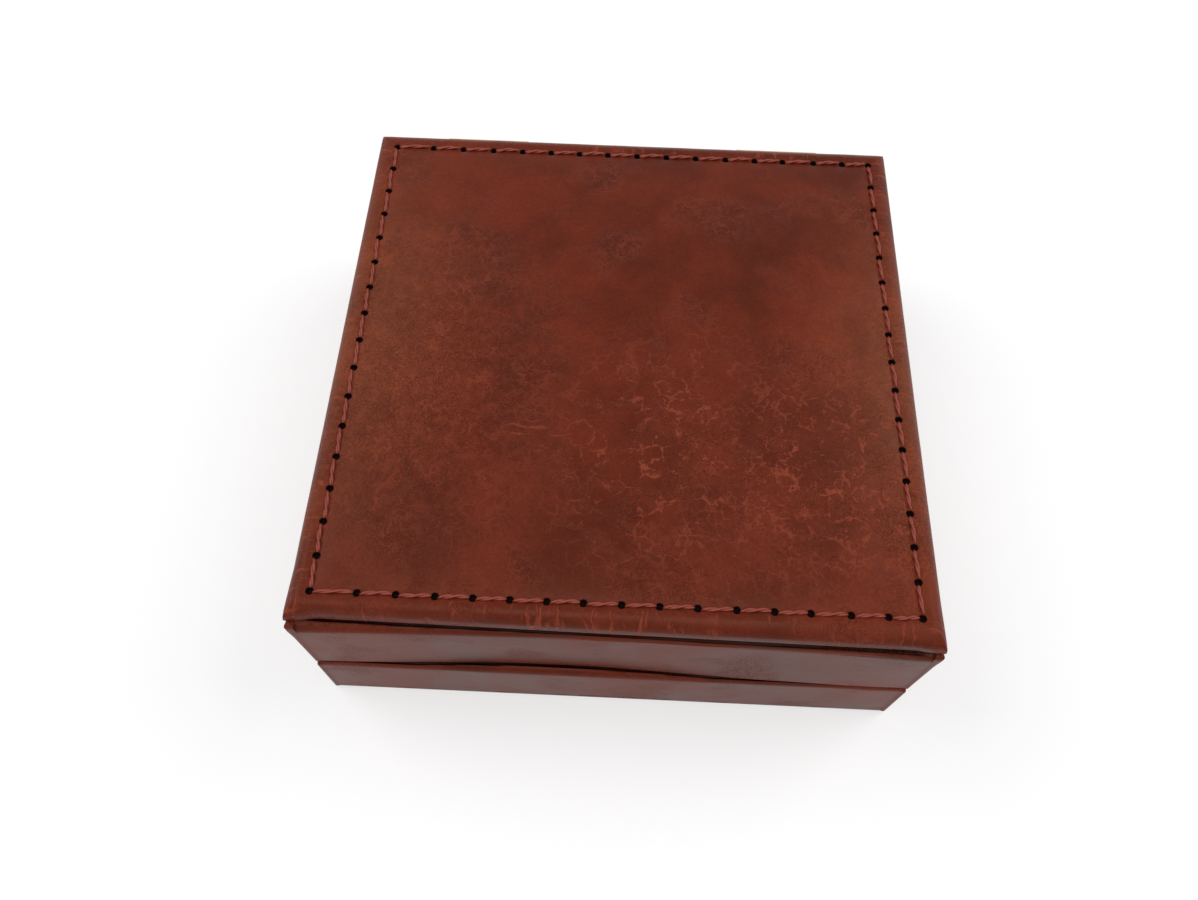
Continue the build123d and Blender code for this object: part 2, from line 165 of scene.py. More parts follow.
class BoxSettings(bpy.types.PropertyGroup):
    """All settings of the cufflink box."""
    leather: PointerProperty(type=LeatherSettings, name="Leather", description="Colours and grain")
    lid: PointerProperty(type=LidSettings, name="Lid", description="Lid and seam")
    front: PointerProperty(type=FrontSettings, name="Case and drawer", description="Glued leather")
    inside: PointerProperty(type=InsideSettings, name="Inside", description="Linings and metal")
    stage: PointerProperty(type=StageSettings, name="Stage", description="Camera, floor and light")


# ---------------------------------------------------------------- node helpers
class Nodes:
    """A material's node tree, built from the shader backwards."""

    def __init__(self, name):
        self.material = bpy.data.materials.new(name)
        self.material.use_nodes = True
        self.tree = self.material.node_tree
        self.tree.nodes.clear()
        self.output = self.tree.nodes.new("ShaderNodeOutputMaterial")
        self.shader = self.tree.nodes.new("ShaderNodeBsdfPrincipled")
        self.link(self.shader.outputs["BSDF"], self.output.inputs["Surface"])
        self.place = self.tree.nodes.new("ShaderNodeTexCoord").outputs["Object"]

    def link(self, source, target):
        self.tree.links.new(source, target)

    def set(self, node, values):
        for key, value in values.items():
            if isinstance(value, bpy.types.NodeSocket):
                self.link(value, node.inputs[key])
            else:
                node.inputs[key].default_value = value
        return node

    def math(self, operation, a, b=0.0, clamp=False):
        node = self.tree.nodes.new("ShaderNodeMath")
        node.operation = operation
        node.use_clamp = clamp
        return self.set(node, {0: a, 1: b}).outputs[0]

    def scaled(self, vector, scale):
        node = self.tree.nodes.new("ShaderNodeVectorMath")
        node.operation = "MULTIPLY"
        return self.set(node, {0: vector, 1: scale}).outputs[0]

    def shifted(self, vector, by):
        node = self.tree.nodes.new("ShaderNodeVectorMath")
        node.operation = "ADD"
        return self.set(node, {0: vector, 1: by}).outputs[0]

    def pushed(self, vector, cell, by):
        """The place, pushed about by a slow noise."""
        drift = self.shifted(self.noise(vector, cell, 2.0, colours=True), (-0.5, -0.5, -0.5))
        return self.shifted(vector, self.scaled(drift, (by, by, by)))

    def turned(self, vector, degrees):
        node = self.tree.nodes.new("ShaderNodeVectorRotate")
        node.rotation_type = "Z_AXIS"
        return self.set(node, {"Vector": vector, "Angle": math.radians(degrees)}).outputs[0]

    def times(self, a, b):
        return self.math("MULTIPLY", a, b)

    def largest(self, first, *others):
        for other in others:
            first = self.math("MAXIMUM", first, other)
        return first

    def noise(self, vector, cell, detail=3.0, roughness=0.5, colours=False):
        node = self.tree.nodes.new("ShaderNodeTexNoise")
        self.set(node, {"Vector": vector, "Scale": 1.0 / cell, "Detail": detail, "Roughness": roughness})
        return node.outputs["Color" if colours else "Fac"]

    def cracks(self, vector, cell):
        """Distance to the edges of a broken-up cell pattern."""
        node = self.tree.nodes.new("ShaderNodeTexVoronoi")
        node.feature = "DISTANCE_TO_EDGE"
        return self.set(node, {"Vector": vector, "Scale": 1.0 / cell}).outputs["Distance"]

    def band(self, value, low, high, start=0.0, end=1.0):
        """Maps low..high onto start..end, with soft ends."""
        node = self.tree.nodes.new("ShaderNodeMapRange")
        node.interpolation_type = "SMOOTHSTEP"
        self.set(node, {"Value": value, "From Min": low, "From Max": high, "To Min": start, "To Max": end})
        return node.outputs["Result"]

    def mix(self, factor, a, b):
        node = self.tree.nodes.new("ShaderNodeMix")
        node.data_type = "RGBA"
        self.set(node, {"Factor": factor, 6: a, 7: b})
        return node.outputs[2]

    def near(self, centre, reach, flatten=1.0):
        """1 at a place on the box, fading to 0 at reach from it."""
        moved = self.shifted(self.place, [-c for c in centre])
        moved = self.scaled(moved, (1.0, flatten, 0.0))
        node = self.tree.nodes.new("ShaderNodeVectorMath")
        node.operation = "LENGTH"
        self.set(node, {0: moved})
        return self.band(node.outputs["Value"], 0.0, reach, 1.0, 0.0)

    def bump(self, height, distance, strength=1.0, below=None):
        node = self.tree.nodes.new("ShaderNodeBump")
        self.set(node, {"Height": height, "Distance": distance, "Strength": strength})
        if below is not None:
            self.link(below, node.inputs["Normal"])
        return node.outputs["Normal"]


def rgba(rgb):
    return (rgb[0], rgb[1], rgb[2], 1.0)


def shade(rgb, factor):
    return (rgb[0] * factor, rgb[1] * factor, rgb[2] * factor, 1.0)


# ---------------------------------------------------------------- materials
LEFT_WRINKLES_AT = (-33 * MM, -8 * MM, 0.0)      # dense fine wrinkles, left of the middle
LOW_RIGHT_AT = (33 * MM, -22 * MM, 0.0)          # a wider wrinkle net, front right
VEINS_AT = (10 * MM, -20 * MM, 0.0)              # winding bands of creases, front middle
STREAKS_AT = (-14 * MM, -17 * MM, 0.0)           # long level creases, left of the front middle
SLANTED_AT = (-38 * MM, -16 * MM, 0.0)           # slanted creases, by the left edge
SHEEN_LEFT_AT = (-48 * MM, 2 * MM, 0.0)           # painted sheen: lighter and less red along the left side
SHEEN_RIGHT_AT = (48 * MM, -4 * MM, 0.0)          # and along the right side
LID_MIDDLE_Y = -0.45 * MM
RIM_WIDTH = 3.2 * MM                             # from the lid's edge in to where the rim's wrinkles end
STRETCHED = 0.10                                 # squeezes a noise along a crease, so that it grows long
SLIT_PAINTED_SHADE = (0.004, 0.001, 0.001, 1.0)          # painted shade: near-black on the leather deep inside a slit
HARD_SHEEN = (1.0, 0.66, 0.54, 1.0)              # reddish tint of the finish's reflections


def rim_wrinkles(n, place):
    """Short wrinkles across the rolled rim, where the leather is drawn over the edge."""
    low, high = node_box("lid_cover")
    seam_x = high.x - RIM_WIDTH
    seam_y = (high.y - low.y) / 2 - RIM_WIDTH
    split = n.tree.nodes.new("ShaderNodeSeparateXYZ")
    n.link(n.place, split.inputs[0])
    aside = n.math("ABSOLUTE", split.outputs["X"])
    forward = n.math("ABSOLUTE", n.math("ADD", split.outputs["Y"], -LID_MIDDLE_Y))
    across = n.band(n.noise(n.scaled(place, (1.0, STRETCHED, STRETCHED)), 0.8 * MM, 2.0), 0.56, 0.68)
    along = n.band(n.noise(n.scaled(place, (STRETCHED, 1.0, STRETCHED)), 0.8 * MM, 2.0), 0.56, 0.68)
    patchy = n.band(n.noise(n.place, 3.5 * MM, 3.0), 0.36, 0.60)
    front = n.times(across, n.band(forward, seam_y, seam_y + 0.8 * MM))
    sides = n.times(along, n.band(aside, seam_x, seam_x + 0.8 * MM))
    return n.times(n.times(n.largest(front, sides), patchy), 0.75)


def wrinkle_net(n, place, cell, width, break_up):
    """A net of creases whose lines swell, thin out and break off."""
    uneven = n.noise(n.shifted(n.place, (cell * 90, 0.0, 0.0)), cell * break_up, 3.0)
    thinning = n.band(uneven, 0.34, 0.66, 0.7, 2.8)
    return n.band(n.times(n.cracks(place, cell), thinning), 0.0, width, 1.0, 0.0)


def leather(name, settings, rim=False):
    """Semi-gloss imitation leather: drifting browns, wrinkle nets opened in places, and a fine pebble."""
    n = Nodes(name)
    wander = n.pushed(n.pushed(n.place, 12 * MM, 9 * MM), 3.5 * MM, 3.2 * MM)
    warped = n.pushed(n.pushed(n.place, 5 * MM, 2.4 * MM), 1.1 * MM, 0.9 * MM)

    # places where the finish has opened
    left = n.near(LEFT_WRINKLES_AT, 32 * MM, 0.7)
    low_right = n.near(LOW_RIGHT_AT, 32 * MM)
    middle = n.near(VEINS_AT, 34 * MM)
    scatter = n.band(n.noise(n.place, 13 * MM, 3.0), 0.48, 0.70)
    patchy = n.band(n.noise(n.shifted(n.place, (1.0, 2.0, 0.0)), 6 * MM, 3.0), 0.36, 0.58)
    veins = n.band(n.cracks(wander, 13 * MM), 0.0, 0.07, 1.0, 0.0)
    veins = n.times(veins, n.largest(middle, n.times(scatter, 0.5)))

    # the creases themselves, each kind kept to its own places
    tiny = wrinkle_net(n, warped, settings.wrinkle * 0.42, 0.22, 3.0)
    tiny = n.times(tiny, n.largest(left, veins, n.times(scatter, 0.8)))
    net = wrinkle_net(n, warped, settings.wrinkle, 0.12, 2.0)
    net = n.times(net, n.times(patchy, n.largest(low_right, veins, left)))
    wide = wrinkle_net(n, n.pushed(warped, 2.2 * MM, 2.0 * MM), settings.wrinkle * 2.1, 0.062, 1.2)
    wide = n.times(wide, n.largest(low_right, middle, n.times(scatter, 0.4)))
    level = n.band(n.noise(n.scaled(warped, (STRETCHED, 1.0, 1.0)), 0.9 * MM, 3.0), 0.57, 0.68)
    level = n.times(level, n.near(STREAKS_AT, 17 * MM, 1.7))
    slanted = n.noise(n.scaled(n.turned(warped, 28), (1.0, 0.13, 1.0)), 0.7 * MM, 3.0)
    slanted = n.times(n.band(slanted, 0.54, 0.66), n.near(SLANTED_AT, 18 * MM, 0.7))
    lines = n.largest(n.times(level, 0.6), n.times(net, n.band(left, 0, 1, 1.0, 0.55)), wide)
    if rim:
        lines = n.largest(lines, rim_wrinkles(n, warped))
    creases = n.largest(lines, n.times(slanted, 0.7), n.times(tiny, 0.75), net)

    # colour: patches and flecks, painted sheen (lighter and less red) along the left and right sides, pale
    # creases, and painted shade inside the slits
    patches = n.band(n.noise(wander, settings.patch, 5.0, 0.6), 0.28, 0.74)
    body = n.mix(patches, rgba(settings.deep), rgba(settings.warm))
    fleck = n.band(n.noise(n.place, 0.45 * MM, 3.0, 0.6), 0.32, 0.72, 0.88, 1.13)
    # painted sheen: the colour is lifted and made less red near the left and right sides
    painted_sheen = n.largest(n.near(SHEEN_LEFT_AT, 30 * MM, 0.5), n.near(SHEEN_RIGHT_AT, 22 * MM, 0.4))
    lift = n.math("ADD", n.times(painted_sheen, 0.60), 1.0)
    red = n.times(fleck, lift)
    green_and_blue = n.times(red, lift)
    tone = n.tree.nodes.new("ShaderNodeCombineXYZ")
    n.set(tone, {0: red, 1: green_and_blue, 2: green_and_blue})
    body = n.scaled(body, tone.outputs[0])
    tint = n.largest(n.times(lines, 0.72), n.times(creases, 0.24), n.times(veins, 0.14))
    body = n.mix(tint, body, rgba(settings.crackle))
    # painted shade: the leather inside the slits is mixed to near-black
    slit = n.tree.nodes.new("ShaderNodeAttribute")
    slit.attribute_name = SLIT_SHADE_ATTRIBUTE
    body = n.mix(slit.outputs["Fac"], body, SLIT_PAINTED_SHADE)

    # finish and relief
    gloss = n.math("ADD", n.times(n.largest(creases, slit.outputs["Fac"]), 0.14),
                   n.band(patches, 0, 1, settings.roughness - 0.03, settings.roughness + 0.05))
    pebble = n.math("ADD", n.noise(n.place, 0.42 * MM, 3.0), n.times(n.noise(n.place, 1.7 * MM), 1.4))
    slow = n.bump(n.noise(n.place, 7 * MM, 2.0), 0.35 * MM, 0.22)
    grain = n.bump(pebble, 0.05 * MM, 0.32, slow)
    relief = n.bump(n.math("SUBTRACT", 1.0, creases), 0.16 * MM, 1.0, grain)
    n.set(n.shader, {"Base Color": body, "Roughness": gloss, "Normal": relief, "IOR": 1.40,
                     "Specular IOR Level": 0.24, "Specular Tint": HARD_SHEEN})
    return n.material


def hole_painted_shade(name):
    """Raw leather inside a needle hole, painted near-black as the shade of the deep hole."""
    n = Nodes(name)
    fibres = n.noise(n.place, 0.1 * MM, 4.0)
    n.set(n.shader, {"Base Color": n.mix(fibres, (0.002, 0.001, 0.001, 1), (0.010, 0.003, 0.002, 1)),
                     "Roughness": 0.9, "Specular IOR Level": 0.1, "Normal": n.bump(fibres, 0.05 * MM, 0.8)})
    return n.material


def waxed_thread(name):
    """Waxed thread, redder and lighter than the leather."""
    n = Nodes(name)
    tone = n.noise(n.place, 0.5 * MM, 3.0)
    body = n.mix(tone, (0.165, 0.022, 0.014, 1), (0.330, 0.060, 0.036, 1))
    fibres = n.noise(n.scaled(n.place, (1.0, 1.0, 3.0)), 0.12 * MM, 3.0)
    n.set(n.shader, {"Base Color": body, "Roughness": 0.48, "Specular IOR Level": 0.35,
                     "Normal": n.bump(fibres, 0.03 * MM, 0.6)})
    return n.material


def velvet(name, rgb):
    """Short pile that lightens towards its edges."""
    n = Nodes(name)
    nap = n.noise(n.place, 5 * MM, 3.0)
    pile = n.noise(n.place, 0.16 * MM, 2.0)
    body = n.mix(n.times(nap, n.math("ADD", pile, 0.5)), shade(rgb, 0.6), shade(rgb, 1.7))
    n.set(n.shader, {"Base Color": body, "Roughness": 0.92, "Sheen Weight": 0.7, "Sheen Roughness": 0.35,
                     "Sheen Tint": shade(rgb, 9.0), "Normal": n.bump(pile, 0.08 * MM, 0.6)})
    return n.material


def covered_board(name, rgb):
    """Book cloth on fibreboard: a faint linen grid."""
    n = Nodes(name)
    weave = n.noise(n.scaled(n.place, (1.0, 0.25, 1.0)), 0.35 * MM, 2.0)
    cross = n.noise(n.scaled(n.place, (0.25, 1.0, 0.25)), 0.35 * MM, 2.0)
    both = n.math("MAXIMUM", weave, cross)
    body = n.mix(both, shade(rgb, 0.7), shade(rgb, 1.5))
    n.set(n.shader, {"Base Color": body, "Roughness": 0.78, "Normal": n.bump(both, 0.06 * MM, 0.5)})
    return n.material


def felt(name, rgb):
    """Matted fibres."""
    n = Nodes(name)
    hair = n.noise(n.place, 0.3 * MM, 5.0, 0.7)
    body = n.mix(hair, shade(rgb, 0.6), shade(rgb, 1.8))
    n.set(n.shader, {"Base Color": body, "Roughness": 0.95, "Sheen Weight": 0.4,
                     "Normal": n.bump(hair, 0.12 * MM, 0.7)})
    return n.material


def brushed_metal(name, rgb, roughness):
    """Metal with faint strokes from side to side."""
    n = Nodes(name)
    strokes = n.noise(n.scaled(n.place, (0.06, 1.0, 1.0)), 0.1 * MM, 2.0)
    stain = n.noise(n.place, 3 * MM, 3.0)
    body = n.mix(stain, shade(rgb, 0.75), shade(rgb, 1.05))
    n.set(n.shader, {"Base Color": body, "Metallic": 1.0, "Normal": n.bump(strokes, 0.01 * MM, 0.4),
                     "Roughness": n.band(strokes, 0.2, 0.8, roughness - 0.08, roughness + 0.1)})
    return n.material


# ---------------------------------------------------------------- mesh helpers
def mesh_object(name, vertices, faces, material, smooth_angle=40.0):
    """New object at the origin from vertices in metres."""
    mesh = bpy.data.meshes.new(name)
    mesh.from_pydata([tuple(v) for v in vertices], [], faces)
    mesh.validate()
    made = bpy.data.objects.new(name, mesh)
    bpy.context.scene.collection.objects.link(made)
    return finish_mesh(made, material, smooth_angle)


def finish_mesh(made, material, smooth_angle=40.0):
    """Turns the faces outward, gives them one material and smooths all but the sharp edges."""
    mesh = made.data
    bm = bmesh.new()
    bm.from_mesh(mesh)
    bmesh.ops.recalc_face_normals(bm, faces=bm.faces)
    bm.to_mesh(mesh)
    bm.free()
    mesh.materials.clear()
    mesh.materials.append(material)
    mesh.shade_smooth()
    mesh.set_sharp_from_angle(angle=math.radians(smooth_angle))
    return made


def refined_copy(node, name, cell, extra=()):
    """Copy of a node's mesh, cut into cells, and at extra (axis, place) planes, so that it can be shaped."""
    bm = bmesh.new()
    bm.from_mesh(frame["nodes"][node].data)
    bmesh.ops.remove_doubles(bm, verts=bm.verts, dist=1e-6)
    bmesh.ops.dissolve_limit(bm, angle_limit=math.radians(0.5), verts=bm.verts, edges=bm.edges)
    low, high = node_box(node)
    cuts = list(extra)
    for axis in range(3):
        count = max(1, round((high[axis] - low[axis]) / cell))
        cuts += [(axis, low[axis] + (high[axis] - low[axis]) * step / count) for step in range(1, count)]
    for axis, place in cuts:
        direction = Vector([float(axis == other) for other in range(3)])
        bmesh.ops.bisect_plane(bm, geom=bm.verts[:] + bm.edges[:] + bm.faces[:], dist=1e-7,
                               plane_co=direction * place, plane_no=direction)
    mesh = bpy.data.meshes.new(name)
    bm.to_mesh(mesh)
    bm.free()
    made = bpy.data.objects.new(name, mesh)
    bpy.context.scene.collection.objects.link(made)
    return made


def soften(made, width, segments=3, angle=50.0):
    """Rounds the sharp edges and keeps the result in the mesh."""
    bevel = made.modifiers.new("soft edges", "BEVEL")
    bevel.width = width
    bevel.segments = segments
    bevel.limit_method = "ANGLE"
    bevel.angle_limit = math.radians(angle)
    bevel.miter_outer = "MITER_ARC"
    bevel.use_clamp_overlap = True
    return keep_modifiers(made)


def paint_slit_shade(made, depth):
    """Keeps how far each point lies inside a slit, 0 to 1, as painted shade in the leather's colour."""
    layer = made.data.attributes.new(SLIT_SHADE_ATTRIBUTE, "FLOAT", "POINT")
    layer.data.foreach_set("value", [depth(vertex.co) for vertex in made.data.vertices])


def keep_modifiers(made):
    """Applies the object's modifiers to its mesh."""
    graph = bpy.context.evaluated_depsgraph_get()
    shaped = bpy.data.meshes.new_from_object(made.evaluated_get(graph))
    made.modifiers.clear()
    made.data = shaped
    return made


def waves(x, y, reach, seed):
    """Slow, even unevenness between about -1 and 1."""
    total = 0.0
    for turn in range(5):
        angle = seed + turn * 2.399
        size = reach * (0.55 + 0.27 * turn)
        along = x * math.cos(angle) + y * math.sin(angle)
        total = total + np.sin(along * 2 * math.pi / size + seed * 1.7 + turn * 1.3) / 2.4
    return total


def box_object(name, low, high):
    """A plain box between two corners."""
    corners = [(x, y, z) for x in (low[0], high[0]) for y in (low[1], high[1]) for z in (low[2], high[2])]
    faces = [(0, 1, 3, 2), (4, 6, 7, 5), (0, 4, 5, 1), (2, 3, 7, 6), (0, 2, 6, 4), (1, 5, 7, 3)]
    mesh = bpy.data.meshes.new(name)
    mesh.from_pydata(corners, [], faces)
    made = bpy.data.objects.new(name, mesh)
    bpy.context.scene.collection.objects.link(made)
    return made


def carve(made, cutters):
    """Cuts boxes out of a closed mesh."""
    for cutter in cutters:
        cut = made.modifiers.new("cut", "BOOLEAN")
        cut.operation = "DIFFERENCE"
        cut.solver = "EXACT"
        cut.object = cutter
        keep_modifiers(made)
        bpy.data.objects.remove(cutter)
    return made


# ---------------------------------------------------------------- lid
FINE = 16              # mesh cells to a stitch
BLOCK = 3              # cells from a needle hole's middle to the edge of its own patch
OUTSIDE = 6            # cells from the seam out to the rolled edge
BORDER = 14            # fine cells before the coarser field
ROLL_STEPS = 9         # rings round the rolled edge
ROLL_POWER = 1.6       # 1 is a chamfer, 2 an ellipse
HOLE_STEPS = ((0.40, 1.0, 0.0), (0.72, 1.0, 0.0), (0.90, 1.0, 0.02),    # from square to round, width of the
              (1.0, 1.0, 0.08), (1.0, 0.92, 0.20), (1.0, 0.88, None))   # round, mm under the top or the board
HOLE_LIP = 4           # rings of a hole that still wear the finish; the deeper rings and the hole's floor get the painted shade
CORNER_FAN = 1.2 * MM  # how far along the edge the rim's corner spreads
STITCH_PULLS = (7.1, 5.85, 5.9, 5.7, 5.55, 5.55, 5.5, 5.7, 5.7, 5.7, 5.8, 5.65, 5.4, 6.0, 5.55, 5.05)


class LidPlan:
    """Places on the lid's top: the seam rectangle, its needle holes and the height of the leather."""

    def __init__(self, settings):
        self.s = settings
        self.low, self.high = node_box("lid_cover")
        self.seam_low = (self.low.x + settings.seam_inset, self.low.y + settings.seam_inset)
        self.seam_high = (self.high.x - settings.seam_inset, self.high.y - settings.seam_inset)
        self.pitch = [(self.seam_high[a] - self.seam_low[a]) / settings.stitches for a in (0, 1)]
        self.rim = self.high.z - settings.crown
        self.line_x, self.line_y = self.line(0), self.line(1)
        self.stitch_count = (np.arange(len(self.line_x)) - OUTSIDE) / FINE

    def line(self, axis):
        """Mesh lines along one axis, from edge roll to edge roll, a needle hole on every FINE-th."""
        pulls = np.array(STITCH_PULLS if axis == 0 and self.s.stitches == len(STITCH_PULLS)
                         else [1.0] * self.s.stitches)
        span = self.seam_high[axis] - self.seam_low[axis]
        holes = self.seam_low[axis] + np.concatenate(([0.0], np.cumsum(pulls) / pulls.sum())) * span
        at = (np.arange(self.s.stitches * FINE + 2 * OUTSIDE + 1) - OUTSIDE) / FINE
        step = self.pitch[axis]
        inside = np.interp(at, np.arange(len(holes)), holes)
        return inside + np.minimum(at, 0) * step + np.maximum(at - self.s.stitches, 0) * step

    def height(self, x, y):
        """Height of the leather: a rolled rim, a sunken seam pulled down at its holes, a swelling field."""
        s = self.s
        inset = np.minimum(np.minimum(x - self.low.x, self.high.x - x),
                           np.minimum(y - self.low.y, self.high.y - y))
        inward = inset - s.seam_inset
        outside = np.maximum(-inward, 0) / (0.85 * MM)
        fall = np.clip((s.roll_width - inset) / s.roll_width, 0, 1)
        rim = s.channel * (1 - np.exp(-outside ** 1.3)) - self.roll(y) * self.round_off(fall)
        swelling = (s.channel + s.crown) * (1 - np.exp(-np.maximum(inward, 0) / s.swell))
        seat = s.channel * 0.30 * (1 - np.exp(-np.maximum(inward - 0.3 * MM, 0) / (0.8 * MM)))
        field = seat + swelling * 0.86
        column = np.interp(x, self.line_x, self.stitch_count)
        row = np.interp(y, self.line_y, self.stitch_count)
        on_front = np.minimum(y - self.low.y, self.high.y - y) < np.minimum(x - self.low.x, self.high.x - x)
        at_hole = 0.5 + 0.5 * np.cos(np.where(on_front, column, row) * 2 * math.pi)
        near_seam = np.exp(-(inward / (1.2 * MM)) ** 2)
        tension = np.exp(-np.maximum(inward, 0) / (3.0 * MM)) * np.clip(inward / (0.8 * MM), 0, 1)
        padded = np.clip(inward / (5 * MM), 0, 1)
        off_seam = np.clip(np.abs(inward) / (1.5 * MM), 0, 1)
        ripple = s.ripple * waves(x, y, 34 * MM, 1.3) * padded
        ripple = ripple + 0.4 * s.ripple * waves(x, y, 9 * MM, 4.1) * off_seam
        return (self.rim - s.channel + np.where(inward < 0, rim, field) - s.pucker * near_seam * at_hole ** 3
                - 0.05 * MM * tension * at_hole + ripple)

    def roll(self, y):
        """Height of the rounded edge, less towards the hinges."""
        return self.s.roll * (1 - 0.3 * np.clip((y + 20 * MM) / (60 * MM), 0, 1))

    def round_off(self, fall):
        """Share of the roll's height that the leather has lost on its way out over the edge."""
        return 1 - (1 - fall ** ROLL_POWER) ** (1 / ROLL_POWER)

    def holes(self):
        """Needle holes in order round the seam."""
        xs, ys = (line[OUTSIDE:len(line) - OUTSIDE:FINE] for line in (self.line_x, self.line_y))
        out = [Vector((x, ys[0])) for x in xs[:-1]] + [Vector((xs[-1], y)) for y in ys[:-1]]
        out += [Vector((x, ys[-1])) for x in xs[:0:-1]] + [Vector((xs[0], y)) for y in ys[:0:-1]]
        return out


def square_ring(ci, cj, reach):
    """Mesh indices round a square of cells, in order."""
    ring = [(ci - reach + k, cj - reach) for k in range(2 * reach)]
    ring += [(ci + reach, cj - reach + k) for k in range(2 * reach)]
    ring += [(ci + reach - k, cj + reach) for k in range(2 * reach)]
    ring += [(ci - reach, cj + reach - k) for k in range(2 * reach)]
    return ring


def lid_leather_mesh(plan):
    """The lid's leather: crowned field, sunken seam with needle holes, rolled rim and turned-under hem."""
    s = plan.s
    xs, ys = plan.line_x, plan.line_y
    last = len(xs) - 1
    grid_x, grid_y = np.meshgrid(xs, ys, indexing="ij")
    tops = plan.height(grid_x, grid_y)
    vertices, faces, dark, number = [], [], set(), {}

    def corner(i, j):
        if (i, j) not in number:
            number[(i, j)] = len(vertices)
            vertices.append((xs[i], ys[j], tops[i, j]))
        return number[(i, j)]

    on_seam = [OUTSIDE + k * FINE for k in range(s.stitches + 1)]
    centres = [(i, j) for i in on_seam for j in on_seam
               if i in (on_seam[0], on_seam[-1]) or j in (on_seam[0], on_seam[-1])]
    block = range(-BLOCK, BLOCK)
    taken = {(ci + a, cj + b) for ci, cj in centres for a in block for b in block}

    def inner(i, j):
        return BORDER <= i < last - BORDER and BORDER <= j < last - BORDER

    for i in range(last):
        for j in range(last):
            if (i, j) in taken or inner(i, j):
                continue
            faces.append((corner(i, j), corner(i + 1, j), corner(i + 1, j + 1), corner(i, j + 1)))
    edge_low, edge_high = BORDER, last - BORDER
    for i in range(edge_low, edge_high, 2):
        for j in range(edge_low, edge_high, 2):
            loop = [(i, j), (i + 2, j), (i + 2, j + 2), (i, j + 2)]
            if j == edge_low:
                loop.insert(1, (i + 1, j))
            if i + 2 == edge_high:
                loop.insert(loop.index((i + 2, j)) + 1, (i + 2, j + 1))
            if j + 2 == edge_high:
                loop.insert(loop.index((i + 2, j + 2)) + 1, (i + 1, j + 2))
            if i == edge_low:
                loop.append((i, j + 1))
            faces.append(tuple(corner(*at) for at in loop))

    for ci, cj in centres:
        add_needle_hole(plan, vertices, faces, dark, corner, ci, cj)
    add_rolled_rim(plan, vertices, faces, corner, last)
    return vertices, faces, dark


def add_needle_hole(plan, vertices, faces, dark, corner, ci, cj):
    """Patch round one hole: from the square of cells to a round lip, and down to the board."""
    xs, ys = plan.line_x, plan.line_y
    ring = square_ring(ci, cj, BLOCK)
    radius = plan.s.hole / 2
    middle = np.array((xs[ci], ys[cj]))
    square = np.array([(xs[i], ys[j]) for i, j in ring])
    away = square - middle
    angle = np.arctan2(away[:, 1], away[:, 0])
    circle = middle + radius * np.stack((np.cos(angle), np.sin(angle)), 1)
    loops = [[corner(i, j) for i, j in ring]]
    board_top = node_box("lid_board")[1].z + 0.03 * MM
    for towards, narrow, down in HOLE_STEPS:
        flat = square * (1 - towards) + (middle + (circle - middle) * narrow) * towards
        z = plan.height(flat[:, 0], flat[:, 1]) - (down or 0.0) * MM
        if down is None:
            z = np.full(len(flat), board_top)
        loops.append(list(range(len(vertices), len(vertices) + len(flat))))
        vertices.extend(zip(flat[:, 0], flat[:, 1], z))
    for depth, (outer, inside) in enumerate(zip(loops, loops[1:])):
        for k in range(len(outer)):
            m = (k + 1) % len(outer)
            # painted shade: the deeper rings and the floor of the hole take the near-black material
            if depth >= HOLE_LIP:
                dark.add(len(faces))
            faces.append((outer[k], outer[m], inside[m], inside[k]))
    dark.add(len(faces))
    faces.append(tuple(loops[-1]))


